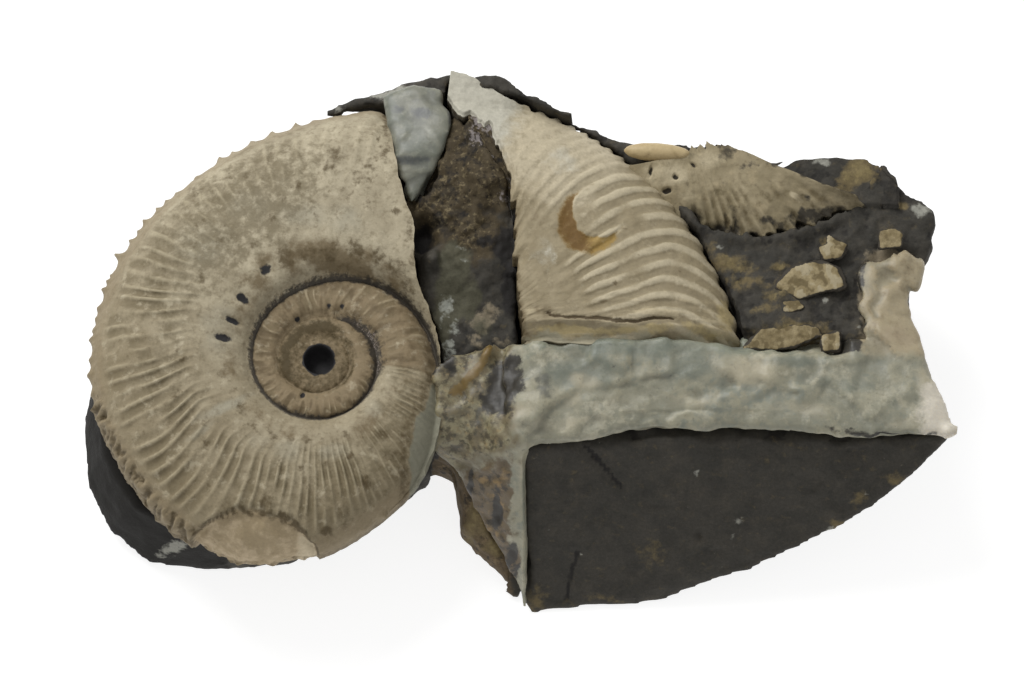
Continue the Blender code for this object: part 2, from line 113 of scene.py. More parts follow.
def inSpots(place, table):
    best = 0.0
    for su, sv, long, wide, strength, turn in table:
        du, dv = place[0] - su, place[1] - sv
        reach = 1.4 * max(long, wide)
        if abs(du) > reach or abs(dv) > reach:
            continue
        c, s = math.cos(math.radians(turn)), math.sin(math.radians(turn))
        away = math.hypot((du * c + dv * s) / long, (dv * c - du * s) / wide)
        best = max(best, strength * (1 - ramp(0.3, 1.4, away)))
    return best


def onLine(place, points, width):  # 1 on a line through the points, 0 beyond its half width
    best = 0.0
    for (ax, ay), (bx, by) in zip(points, points[1:]):
        ux, uy = bx - ax, by - ay
        t = min(1.0, max(0.0, ((place[0] - ax) * ux + (place[1] - ay) * uy) / (ux * ux + uy * uy)))
        away = math.hypot(place[0] - ax - t * ux, place[1] - ay - t * uy)
        best = max(best, 1 - ramp(0.3, 1.0, away / width))
    return best


def markLayers(bm, names):
    return {name: bm.verts.layers.float.new(name) for name in names.split()}


def setMarks(vert, layers, marks):
    for name, value in marks.items():
        vert[layers[name]] = value


def bentGrid(bm, columns, rows, layers, place):
    # a flat grid whose corners are moved to place(u, v), which also gives the marks at each corner
    for vert in bmesh.ops.create_grid(bm, x_segments=columns, y_segments=rows, size=1)["verts"]:
        vert.co, marks = place((vert.co.x + 1) / 2, (vert.co.y + 1) / 2)
        setMarks(vert, layers, marks)


def finishPiece(name, bm, material, node):
    bmesh.ops.scale(bm, vec=(mm, mm, mm), verts=bm.verts)
    mesh = bpy.data.meshes.new(name)
    bm.to_mesh(mesh)
    bm.free()
    mesh.shade_smooth()
    mesh.materials.append(material)
    piece = bpy.data.objects.new(name, mesh)
    bpy.context.scene.collection.objects.link(piece)
    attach(piece, "root")
    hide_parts(node)
    print(name, len(mesh.polygons), "faces")


def weathered(name, look):
    # cloudy two-tone body, then ragged layers where the piece's marks say so, then a fine grain
    material = bpy.data.materials.new(name)
    material.use_nodes = True
    tree = material.node_tree
    shader = tree.nodes["Principled BSDF"]
    place = addNode(tree, "ShaderNodeTexCoord").outputs["Object"]
    made = {}

    def grain(size, rough=0.62):
        if (size, rough) not in made:
            values = {"Scale": 1 / (size * mm), "Detail": 5.0, "Roughness": rough}
            made[size, rough] = addNode(tree, "ShaderNodeTexNoise", {"Vector": place}, values).outputs[0]
        return made[size, rough]

    cloud = addNode(tree, "ShaderNodeMapRange", {"Value": grain(look["cloudMm"])},
                    {"From Min": 0.36, "From Max": 0.64}, interpolation_type="SMOOTHSTEP").outputs[0]
    body = addNode(tree, "ShaderNodeMix", {0: cloud}, {6: linear(look["body"]), 7: linear(look["cloud"])},
                   data_type="RGBA").outputs[2]
    for mark, colour, cover, ragged, size, low, high in look["layers"]:
        edge = addNode(tree, "ShaderNodeMath", {0: grain(size)}, {1: ragged, 2: -0.5 * ragged},
                       operation="MULTIPLY_ADD").outputs[0]
        if mark:  # a layer without a mark lies everywhere
            mask = addNode(tree, "ShaderNodeAttribute", attribute_name=mark).outputs["Fac"]
            edge = addNode(tree, "ShaderNodeMath", {0: mask, 1: edge}, operation="ADD").outputs[0]
        share = addNode(tree, "ShaderNodeMapRange", {"Value": edge},
                        {"From Min": low, "From Max": high, "To Max": cover},
                        interpolation_type="SMOOTHSTEP").outputs[0]
        body = addNode(tree, "ShaderNodeMix", {0: share, 6: body}, {7: linear(colour)},
                       data_type="RGBA").outputs[2]
    fine = addNode(tree, "ShaderNodeMapRange", {"Value": grain(look["grainMm"], 0.75)},
                   {"From Min": 0.3, "From Max": 0.7, "To Min": 1 - look["grainDepth"],
                    "To Max": 1 + look["grainDepth"]}).outputs[0]
    speckled = addNode(tree, "ShaderNodeVectorMath", {0: body, "Scale": fine}, operation="SCALE").outputs[0]
    tree.links.new(speckled, shader.inputs["Base Color"])
    coarse = addNode(tree, "ShaderNodeBump", {"Height": grain(look["lumpMm"])},
                     {"Strength": look["lumpStrength"], "Distance": look["lumpMm"] * 0.2 * mm}).outputs[0]
    bump = addNode(tree, "ShaderNodeBump", {"Height": grain(look["grainMm"], 0.75), "Normal": coarse},
                   {"Strength": look["bump"], "Distance": look["grainMm"] * 0.25 * mm}).outputs[0]
    tree.links.new(bump, shader.inputs["Normal"])
    shader.inputs["Roughness"].default_value = look["rough"]
    shader.inputs["IOR"].default_value = look["ior"]
    shader.inputs["Specular IOR Level"].default_value = look["shine"]
    if look.get("glow"):
        shader.inputs["Subsurface Weight"].default_value = look["glow"]
        shader.inputs["Subsurface Radius"].default_value = (1.0, 0.9, 0.7)
        shader.inputs["Subsurface Scale"].default_value = 1.5 * mm
    return material


# the whole ammonite
coil = {"centre": (-29.7, -6.6), "midZ": 21.0, "baseZ": 14.0, "startHeading": -8.0, "lastAngle": 1350.0,
        "steps": 728, "flankRows": 36, "innerRows": 12, "rimRows": 12, "ribHeight": 0.46, "innerRib": 0.16,
        "crest": 0.3, "firstRadius": 44.0, "wholeFrom": 84.0, "innerRadius": 18.2, "innerShrink": 0.56}
hubSteps = ((0.8, 0.96), (1.2, 0.9), (1.2, 0.7))  # the open hub: each step's depth and narrowing
# by coil angle in degrees: radius of the rim and of the seam, half the whorl's width, width of the groove
rimLine = ((0, 18.2), (22, 17.9), (43, 18.2), (54, 20.4), (63, 24.4), (73, 28.8), (79, 34.0), (84, 41.2),
           (92, 40.6), (103, 38.4), (114, 37.0), (127, 35.6), (140, 34.8), (165, 34.2), (200, 34.0),
           (217, 33.3), (240, 33.3), (258, 32.6), (272, 30.4), (287, 27.5), (300, 25.3), (318, 23.4),
           (338, 20.8), (360, 18.2))
seamLine = ((0, 18.0), (28, 16.6), (57, 14.7), (85, 12.7), (113, 11.1), (143, 10.4), (214, 9.9), (278, 9.5),
            (343, 8.9), (397, 8.2), (445, 6.9), (535, 6.2), (640, 5.1), (730, 4.5), (800, 3.8), (900, 3.0),
            (1000, 2.4), (1350, 2.3))
halfWidth = ((0, 10.4), (85, 9.6), (200, 8.6), (290, 7.2), (360, 6.2), (500, 5.4), (720, 4.7), (1000, 4.1),
             (1350, 4.0))
seamWidth = ((0, 0.3), (20, 0.5), (45, 0.62), (80, 0.5), (110, 0.42), (140, 0.3), (200, 0.27), (225, 0.42),
             (250, 0.62), (280, 0.5), (300, 0.3), (330, 0.5), (350, 0.8), (372, 1.1), (400, 1.1), (420, 0.5),
             (440, 0.25), (1350, 0.25))
# the bite out of the lower rim, then how the ribs and the colours change round the coil
chipLine = ((236, 36.0), (243, 33.5), (244, 31.8), (247, 29.8), (251.5, 27.1), (262, 26.1), (269, 26.1),
            (274, 27.6), (278, 29.1), (281, 32.0), (283, 35.0))
ribPitch = ((0, 3.4), (92, 4.0), (160, 4.15), (246, 4.15), (262, 3.2), (360, 3.1))  # degrees a rib
ribStrength = ((0, 0.0), (84, 0.5), (138, 0.7), (150, 1.0), (246, 1.0), (262, 0.9), (310, 0.9), (345, 0.5))
# by coil angle: how much darker the middle of the flank is
darkMidFlankLine = ((-8, 0.55), (40, 0.6), (70, 0.35), (84, 0.45), (100, 1.0), (135, 1.0), (160, 0.6), (200, 0.45),
             (240, 0.5), (280, 0.7), (320, 0.9), (352, 0.55))
veilLine = ((-18, -16.1), (-14.9, -15.9), (-11.9, -15.0), (-8.1, -13.5), (-4.6, -12.3), (-2, -11.6))
ribStart = ((0, 0.4), (84, 0.42), (140, 0.34), (200, 0.28), (225, 0.22), (262, 0.18), (360, 0.15))
ribInward = ((0, 0.0), (84, 0.0), (118, 6.0), (142, 28.0), (158, 39.0), (246, 36.0), (262, 14.0), (352, 8.0))
ribOutward = ((0, 0.0), (84, 60.0), (108, 36.0), (136, 0.0), (200, 6.0), (222, 50.0), (250, 50.0),
              (266, 0.0), (352, 0.0))
spines = ((191, 1.0), (187, 0.6), (182, 0.8), (178, 0.5), (172.5, 0.8), (170, 0.6), (167, 0.5),
          (164, 0.7), (159, 1.0), (156.5, 0.8), (155, 0.6), (149.5, 1.5), (144.5, 0.8), (141.5, 0.6),
          (138.5, 1.0), (134, 0.8), (131, 0.6), (128, 0.4), (121.5, 0.6), (114.5, 1.1), (111, 0.7),
          (106, 0.9), (101, 1.2), (95.5, 1.2), (91.5, 0.7), (293, 0.7), (285, 0.4), (307, 0.5),
          (312, 0.6), (318, 0.4))  # heading, length
# dark knobs: heading, distance from the hub, half width and half length
knobs = ((172.4, 14.4, 0.7, 1.4), (160.2, 13.8, 0.55, 1.1), (144.5, 14.1, 0.8, 1.0), (122.4, 15.1, 1.1, 0.8),
         (79.6, 8.05, 0.45, 0.45), (66.5, 8.5, 0.45, 0.45), (117.8, 7.0, 0.45, 0.45), (247.5, 6.4, 0.4, 0.6))
# tan by coil angle: the shell's own tan at the left rim, and painted shade darkening the lower side of the
# coil
tanAndLowerShadeLine = ((-8, 0.7), (40, 0.4), (70, 0.15), (100, 0.1), (135, 0.35), (165, 0.75), (200, 0.9), (225, 0.95),
           (260, 0.9), (300, 1.0), (352, 0.8))
coilStains = spots(
    "-34.5 12.4 1.6 1.8 0.75, -31.5 13 2.1 1.3 0.7 5, -28.2 13.3 2.1 1.3 0.75, -24.1 13.5 1.6 1.6 0.8, "
    "-21 12.6 1.9 1.6 0.65 -3, -18.3 10.9 1.8 1.5 0.6 -4, -16.5 8.2 1.1 2.2 0.55 2, "
    "-25.9 10.9 4.5 0.6 0.35, -37.9 9.6 1.3 0.8 0.5 3, -27.1 28.1 1.5 1.3 0.65, -28.2 26.2 1.8 1.2 0.5, "
    "-22.1 25.9 1.5 2.1 0.5, -20.1 28.3 1.1 1.8 0.6, -19.8 32.4 0.6 3 0.7, -32.9 23.4 0.4 0.9 0.75, "
    "-35.2 21.4 0.8 0.6 0.6, -21.9 20.1 1.2 0.8 0.4, -18.3 19.3 0.8 0.4 1, -21.1 30.3 0.3 0.3 0.9, "
    "-23.4 24.4 2.1 1.5 0.4, -25.2 22.6 1.5 1.2 0.3, -48 22.3 1.3 0.8 0.45 -3, -43.5 24.8 0.6 1.3 0.3, "
    "-40.6 24.8 0.8 1.3 0.35, -37.2 27.4 0.4 1.2 0.3, -50.2 19.8 1.2 0.6 0.3 -3, "
    "-47.5 17.4 1.2 0.8 0.35 -3, -42.3 12.8 1.2 0.6 0.3, -47.1 9.8 0.8 0.6 0.45, -16.5 16.3 0.8 1.9 0.6, "
    "-15.8 12.4 0.8 1.8 0.6, -12.9 6.1 0.8 2.4 0.4 1, -19.9 -13.8 1.8 1.2 0.5 -5, "
    "-18.4 -17.1 2.1 1.5 0.45 -5, -22.5 -21 0.9 1.3 0.85, -28.6 -28.5 1.2 0.9 0.95, "
    "-25.9 -26.1 1.2 2.1 0.4, -31.2 -20.8 1.5 1.8 0.35, -32.7 -26.1 2.1 0.9 0.3, "
    "-17.1 -19.3 1.5 0.9 0.4 35, -50.9 -7.7 0.8 0.8 0.55 -75, -50.8 -1.6 0.4 0.6 0.75 88, "
    "-49.9 -2.9 0.6 0.9 0.65 -88, -46.5 -14.9 0.8 0.6 0.85 -52, -51.5 -12.6 0.6 1.2 0.45 -64, "
    "-46.2 -11.7 1.2 0.8 0.5 -59, -41.3 -9.8 1.3 0.8 0.65 -56, -42.6 -7.4 1.2 0.8 0.5 -68, "
    "-43.6 -4.9 1.2 0.6 0.75 -79, -39.7 -12.5 1.2 0.8 0.45 -43, -45.8 -21.7 0.8 0.9 0.5 -38, "
    "-35.2 -18.5 0.8 0.6 0.6 -18, -32.2 -18.9 0.6 0.8 0.7 -8, -28.5 -18.3 0.8 0.6 0.5 4, "
    "-25.1 -17.4 0.8 0.6 0.75 16, -22.1 -16.1 0.6 0.6 0.5 28, -31.4 -14.3 0.8 0.9 0.8 -8, "
    "-33.7 -15 0.9 0.8 0.6 -16, -36.4 -13.9 1.3 1.1 0.6 -28, -28.6 -14.6 0.9 0.8 0.45 5, "
    "-25.4 -13.9 1.1 0.8 0.45 2, -37.2 -24.2 1.3 1.5 0.65 -18, -22.4 -21.3 0.6 1.2 0.8 2, "
    "-34 -20.7 0.4 0.6 0.5 -12, -34.6 12.6 1.2 1.1 0.6 17, -24.2 14.1 1.3 1.3 0.6 -18, "
    "-33.1 23.4 0.4 1.2 0.6 7, -30.3 19.4 0.6 1.5 0.4 2, -36.7 18.6 0.9 0.9 0.7 18, "
    "-44.4 15 1.1 0.6 0.6 38, -42.2 15.7 0.8 0.9 0.55 33, -39.2 14.1 0.9 1.1 0.4 28, "
    "-47.2 9.6 0.9 0.8 0.5 54")
coilPale = spots(
    "-46.9 14.4 6 3.9 0.55 4, -44.4 1.6 3.6 6 0.45, -40.2 20.4 4.5 3 0.5 2, -31.9 18.9 6 2.4 0.5, "
    "-25.9 18.1 3.9 2.4 0.5, -43.9 -10 5.1 1.1 0.7 25, -47.7 -13.7 3.9 0.8 0.5 32, -34.2 -16.3 3 2.4 0.45, "
    "-27.4 -16.6 3 1.5 0.55, -21.6 -10.3 1.8 2.4 0.5 4, -24.9 -8.1 2.4 1.1 0.35 -2, "
    "-38.4 -14.8 2.4 1.2 0.4 5")
ribCount = [0.0]
for degree in range(361):
    ribCount.append(ribCount[-1] + 1 / along(ribPitch, degree + 0.5))


def bodyRadius(angle):
    if angle < coil["wholeFrom"]:
        gain = along(rimLine, coil["wholeFrom"]) - coil["firstRadius"]
        return coil["firstRadius"] + gain * angle / coil["wholeFrom"]
    if angle <= 360:
        return along(rimLine, angle)
    return coil["innerRadius"] * coil["innerShrink"] ** ((angle - 360) / 360)


def outerFlank(share):
    crest = coil["crest"]
    return max(0.0, 1 - (max(0.0, share - crest) / (1 - crest)) ** 2.7) ** 0.55


def coilHeight(angle, radius):
    inner = along(seamLine, angle)
    share = (radius - inner) / max(0.5, bodyRadius(angle) - inner)
    held = 1 - 0.1 * ramp(300, 355, angle)
    top = along(halfWidth, angle) * outerFlank(min(share, held))
    if share >= coil["crest"] or angle > coil["lastAngle"] - 360:
        return top
    deeper = angle + 360
    deeperInner = along(seamLine, deeper)
    seatShare = (inner - deeperInner) / max(0.5, bodyRadius(deeper) - deeperInner)
    seam = along(halfWidth, deeper) * outerFlank(min(seatShare, 0.9))
    rise = max(0.0, 1 - (1 - share / coil["crest"]) ** 2.6) ** 0.75
    return seam + (top - seam) * rise


def ribLean(rib, share):  # ribs bow: their middle lies further round than both ends
    if rib > 360:
        return -1.5 * math.sin(math.pi * share)
    fade = ramp(0, 12, rib) * (1 - ramp(335, 354, rib))
    if share > 0.75:
        return fade * along(ribOutward, rib) * (share - 0.75) ** 2
    return fade * along(ribInward, rib) * (0.75 - max(share, 0.4)) ** 2 * ramp(0, 0.4, share)


def coilCorner(rib, share, drop=0.0):
    wobble = 0.9 * noise.noise(Vector((rib * 0.06, 3.1, share * 1.5))) * math.sin(math.pi * share)
    angle = max(0.0, rib - ribLean(rib, share) - wobble * ramp(0, 12, rib))
    inner = along(seamLine, angle)
    outside = rib <= 360.0001
    rim = along(rimLine, angle) if outside else along(seamLine, angle - 360)
    radius = inner + (rim - inner) * share
    body = bodyRadius(angle)
    whorlShare = (radius - inner) / max(0.5, body - inner)
    height = coilHeight(angle, radius)
    heading = coil["startHeading"] + angle
    x, y = polar(coil["centre"], heading, radius)
    whole = ramp(0.93, 1.0, (rim - inner + 0.01) / max(0.5, body - inner)) if outside else 0.0
    lost = 0.0
    split = 0.0
    if 236 < angle < 286 and outside:
        edge = along(chipLine, angle) + 0.5 * lumps(x, y, 0, 2.4)
        lost = ramp(0.0, 0.3, radius - edge) * ramp(285, 277, angle)
        # painted shadow: a dark line along the step of the crack
        split = math.exp(-((radius - edge - 0.1) / 0.4) ** 2) * (1 - drop)
        radius -= (1.2 + 0.7 * lumps(angle, 0, 0, 7.0)) * lost * ramp(0.8, 1, share) * ramp(284, 272, angle)
    keep = (1 - lost) * (1 - drop)
    wall = ramp(0.02, 0.2, drop)

    # ribs: a narrow crest and a wide trough, strongest on the outer half of the flank
    if outside:
        turns = ribCount[int(rib)] + (rib - int(rib)) * (ribCount[int(rib) + 1] - ribCount[int(rib)])
        turns += 0.26 * noise.noise(Vector((rib * 0.16, 7, share * 3.5)))
        start = along(ribStart, rib)
        ribbed = ramp(start, start + 0.34, whorlShare) * (1 - ramp(0.86, 0.95, whorlShare))
        ribbed *= along(ribStrength, rib) * (0.8 + 1.1 * lumps(x, y, 4, 4.0)) * ramp(0, 9, rim - inner)
        ribbed = max(0.0, ribbed) * keep
        if angle > 325:
            ribbed *= 1 - ramp(0.8, 1, share) * ramp(330, 358, rib)
        ribHeight = coil["ribHeight"]
    else:
        turns = rib / 8.2 + 0.6 * noise.noise(Vector((rib * 0.08, 2, share * 2)))
        ribbed = ramp(0.1, 0.3, share) * (1 - ramp(0.82, 1, share)) * ramp(1.5, 3.5, rim - inner)
        ribbed *= max(0.0, 0.5 + lumps(x, y, 9, 2.5)) * ramp(6.2, 8.5, math.dist((x, y), coil["centre"]))
        ribHeight = coil["innerRib"]
    turn = 2 * math.pi * turns
    phase = 0.5 + 0.5 * math.cos(turn + 0.55 * math.sin(turn))
    height += ribHeight * ribbed * (phase - 0.45)

    # spines and knobs along the shoulder, and an uneven surface
    if whole > 0 and share > 0.95 and abs(heading % 360 - 180) < 135:
        spike = max(tall * math.exp(-abs(heading - at) / 0.95) for at, tall in spines)
        radius += spike * whole * math.exp(-((share - 1) / 0.012) ** 2 - (drop / 0.05) ** 2)
    knobby = ramp(186, 192, heading) * (1 - ramp(233, 237, heading)) * ramp(0.93, 0.97, share) * (drop < 0.6)
    knob = lumps(x * 1.3, y * 1.3, 12 * drop, 1.5, 4) if knobby else 0.0
    height += 0.7 * knob * knobby * (1 - drop)
    radius += 0.6 * knob * knobby
    ragged = ramp(0.8, 1, share) * (outside and 2 < rib < 356)
    radius += 0.14 * lumps(x, y, height + 9 * drop, 1.4) * ragged
    torn = (0.55 * lost + 0.3 * (1 - whole)) * (8 < rib < 350)
    radius += torn * lumps(x, y, 30 * drop, 2.2) * ramp(0.9, 1, share)
    height -= lost * (1.5 + 0.1 * (radius - 26) + 0.5 * lumps(x, y, 2, 4.0)) * (1 - drop)
    height += 0.14 * lumps(x, y, 1, 1.8, 4) * (1 - drop) + 0.2 * lumps(x, y, 0, 6.0) * (1 - drop)
    hole = 0.0
    if radius < 18 and not drop:
        for at, away, tangent, radial in knobs:
            kx, ky = polar(coil["centre"], at, away)
            c, s = math.cos(math.radians(at)), math.sin(math.radians(at))
            out, side = (x - kx) * c + (y - ky) * s, (y - ky) * c - (x - kx) * s
            hole = max(hole, 1 - ramp(0.3, 1.5, math.hypot(out / radial, side / tangent)))
    height -= 0.55 * hole

    # dark groove where the whorls meet; its dark colour is partly calcite in the joint and partly painted
    # shadow
    crumbly = 1 + 0.55 * lumps(x, y, 15, 1.1)
    nearIn = math.exp(-((radius - inner) / (crumbly * along(seamWidth, angle))) ** 2) if angle > 2 else 1.0
    nearOut = 0.0 if outside else math.exp(-((rim - radius) / (crumbly * along(seamWidth, angle - 360))) ** 2)
    groove = max(nearIn * (angle < 440), nearOut * (angle < 800)) * (1 - drop)
    height -= 0.3 * groove
    if drop > 0:
        bottom = coil["baseZ"] - coil["midZ"]
        height += (bottom - height) * math.sin(drop * math.pi / 2)
        radius -= 3.2 * drop**2.2 * max(whole, ramp(300, 340, angle), 1 - ramp(0, 20, angle))
    x, y = polar(coil["centre"], heading, radius)
    point = Vector((x, y, coil["midZ"] + height))
    fromHub = math.dist((x, y), coil["centre"])
    laid = layOut(point, 0.8)
    streak = 0.0
    if fromHub < 19 and not outside:
        streak = ramp(-0.35, 0.5, lumps(heading / 7.5, fromHub / 2.6, 0, 1.0)) * ramp(5.8, 7.4, fromHub)
    bearing = heading % 360
    ring = 5.1 + 0.35 * noise.noise(point / 1.5)
    # olive-brown ring round the hub, only on its upper and left side: partly its tone, partly painted shade
    # where the hub sinks
    oliveAndShade = math.exp(-((fromHub - ring) / 1.2) ** 2) * ramp(30, 75, bearing) * (1 - ramp(205, 240, bearing))
    across = laid[0] - along(veilLine, laid[1])  # past here the vein laps over the shell
    low = ramp(-2.5, -5.0, laid[1]) * outside
    pastBreak = (heading + 8) % 360 - 8
    grime = 0.3
    if outside:
        grime = along(darkMidFlankLine, pastBreak) * math.exp(-((whorlShare - 0.55) / 0.42) ** 2)
    band = 0.0
    if outside and fromHub < 22:  # brown cloud round the top of the inner whorls
        about = (heading + 90) % 360 - 90
        band = ramp(20, 50, about) * ramp(152, 122, about) * math.exp(-((fromHub - 14.9) / 2.5) ** 2)
        band = max(band, 0.45 * math.exp(-((fromHub - 13.4) / 2.0) ** 2))
        band *= 0.85 + 1.1 * lumps(x, y, 5, 3.2)
        band *= 1 - drop
    # seam: the joint's dark calcite, with painted shadow in its groove
    seamIn = nearIn * (1 - ramp(425, 445, angle))
    seamOut = nearOut * (1 - ramp(785, 805, angle))
    spotted = inSpots(laid, coilStains) * (1 - wall)
    # painted shade in the hollows between the knobs
    shadeBetweenKnobs = 0.8 * knobby * ramp(0.15, -0.3, knob)
    # painted shadow: a dark band along the edge where the vein laps over the shell
    shadowAlongVeil = 0.6 * low * math.exp(-((across + 0.9) / 0.9) ** 2)
    # groove and crest: painted shade in the rib troughs and a painted highlight on the rib crests
    marks = {"groove": (1 - phase) * ribbed, "crest": phase**2 * ribbed, "band": band,
             "seam": max(seamIn, seamOut) * (1 - drop),
             "stain": max(spotted, 0.5 * wall, shadeBetweenKnobs, 0.95 * split, shadowAlongVeil),
             "veil": low * ramp(-0.7, 0.6, across), "grime": grime,
             "bright": lost * ramp(268, 276, angle) * (1 - split),
             "pale": inSpots(laid, coilPale) * (1 - drop),
             "tan": along(tanAndLowerShadeLine, pastBreak) * (0.5 + 0.5 * share) if outside else 0.75,
             "rim": ramp(0.88, 0.97, share) * whole,
             "hole": max(hole, 1 - ramp(2.3, 2.75, fromHub + 0.25 * noise.noise(point))),
             "inner": ramp(356, 362, rib), "streak": streak,
             "hub": max(oliveAndShade, 0.75 * math.exp(-((fromHub - 5.25) / 0.3) ** 2), 0.5 * (fromHub < 5.2)),
             "sparkle": nearIn * ramp(345, 355, angle) * (1 - ramp(415, 430, angle)),
             "chip": max(lost, 0.6 * (1 - whole) * wall)}
    return point, marks


def outerWhorl(u, v):
    if u > 0.9999:  # the last column meets the coarser inner whorls
        v = round(v * coil["innerRows"]) / coil["innerRows"]
    return coilCorner(u * 360, math.sin(v * math.pi / 2))


def buildCoil(material):
    bm = bmesh.new()
    layers = markLayers(bm, "groove crest band seam stain pale tan rim hole inner streak hub chip veil "
                            "grime bright sparkle")
    deeper = coil["lastAngle"] - 360
    bentGrid(bm, coil["steps"], coil["flankRows"], layers, outerWhorl)
    bentGrid(bm, coil["steps"], coil["rimRows"], layers, lambda u, v: coilCorner(u * 360, 1, v))
    bentGrid(bm, round(coil["steps"] * deeper / 360), coil["innerRows"], layers,
             lambda u, v: coilCorner(360 + u * deeper, math.sin(v * math.pi / 2)))
    bmesh.ops.remove_doubles(bm, verts=bm.verts, dist=0.002)
    ring = [e for e in bm.edges if e.is_boundary and e.verts[0].co.z > coil["midZ"]]
    hubX, hubY = coil["centre"]
    for depth, squeeze in hubSteps:
        made = bmesh.ops.extrude_edge_only(bm, edges=ring)["geom"]
        for vert in (v for v in made if isinstance(v, bmesh.types.BMVert)):
            x, y, z = vert.co
            vert.co = Vector((hubX + (x - hubX) * squeeze, hubY + (y - hubY) * squeeze, z - depth))
            vert[layers["hole"]] = 1.0
        ring = [e for e in made if isinstance(e, bmesh.types.BMEdge) and e.is_boundary]
    bmesh.ops.holes_fill(bm, edges=[e for e in bm.edges if e.is_boundary])
    bmesh.ops.recalc_face_normals(bm, faces=bm.faces)
    finishPiece("wholeAmmonite", bm, material, "ammonite_coil")


# the flank of the second ammonite
flank = {"centre": (-16.1, -13.2), "midZ": 22.8, "baseZ": 20.5, "half": 10.2, "radius": 50.0, "seam": 17.5,
         "headings": (83.3, 9.5), "footY": -5.8, "ribPitch": 3.56, "finePitch": 2.5, "fineFrom": 53.0,
         "ribHeight": 0.31, "columns": 300, "rows": 96, "tipReach": 2.3}
breakLine = ((9.5, 18.6), (22, 19.4), (41, 22.0), (52, 26.0), (57, 28.6), (61, 32.6), (66, 36.6),
             (70, 39.6), (76, 43.6), (83.3, 46.6))
scar = {"outer": (10.7, 17.9, 5.15), "inner": (12.3, 19.6, 4.1)}  # crescent between two circles: u, v, radius
flankCrack = ((4.5, 4.2), (7.8, 3.4), (12, 3.6), (16.8, 3.1), (21.3, 3.4), (23.1, 3.2))
flankStains = spots(
    "10.5 23.2 1.3 0.9 0.5, 14.7 8.7 0.4 0.4 0.95, 12.6 6.1 0.6 0.4 0.75, 8.5 12.2 1.1 0.8 0.35, "
    "3.1 18.3 1.9 1.2 0.5 2, 3.8 20.4 0.4 0.4 0.5, 5.7 31.5 1.5 0.9 0.35, 1.1 8.5 1.6 0.9 0.45 1, "
    "3.8 4.5 1.9 1.2 0.6, 1.1 1.3 1.1 0.9 0.7, 17.8 13 0.3 0.3 0.7, 24.1 10.5 0.3 0.3 0.7, "
    "16.1 16.5 0.9 0.4 0.6 1, 13.9 14.1 1.2 0.8 0.35, 11.8 2.9 1.8 0.6 0.5, 6.3 2.4 1.5 0.8 0.5, "
    "20.6 18.9 1.5 0.4 0.35 -3, 19.8 15.9 2.1 0.4 0.3 -15, 18.3 11.8 3 0.4 0.3 -1, "
    "25.8 12.9 0.4 1.2 0.4 -3, 27.3 7.6 0.4 1.5 0.4 -3, 29.7 4.3 0.6 1.8 0.5 -3, -0.3 18.9 1.2 1.5 0.6, "
    "-1.5 21.1 0.9 1.5 0.5")
flankPale = spots(
    "-6.6 38.2 3.6 1.8 1 -15, -2.7 36.4 3.3 1.5 0.8 -35, -7.2 35.5 1.3 1.3 0.7, -0.3 34.4 2.4 1.2 0.4 -35, "
    "6.3 27.1 3.6 2.7 0.4 -4, 4 12.9 2.4 3.3 0.4")
flankYellow = spots(
    "8.5 1.5 6.9 1.1 0.95 -4, 18.3 1.8 6 0.9 0.75, 27.3 1.5 4.5 1.2 0.6 -15, 30.9 3.4 1.2 3 0.8 3, "
    "32.9 -1.1 1.8 1.1 0.8, 4 0.3 2.1 0.6 0.6")


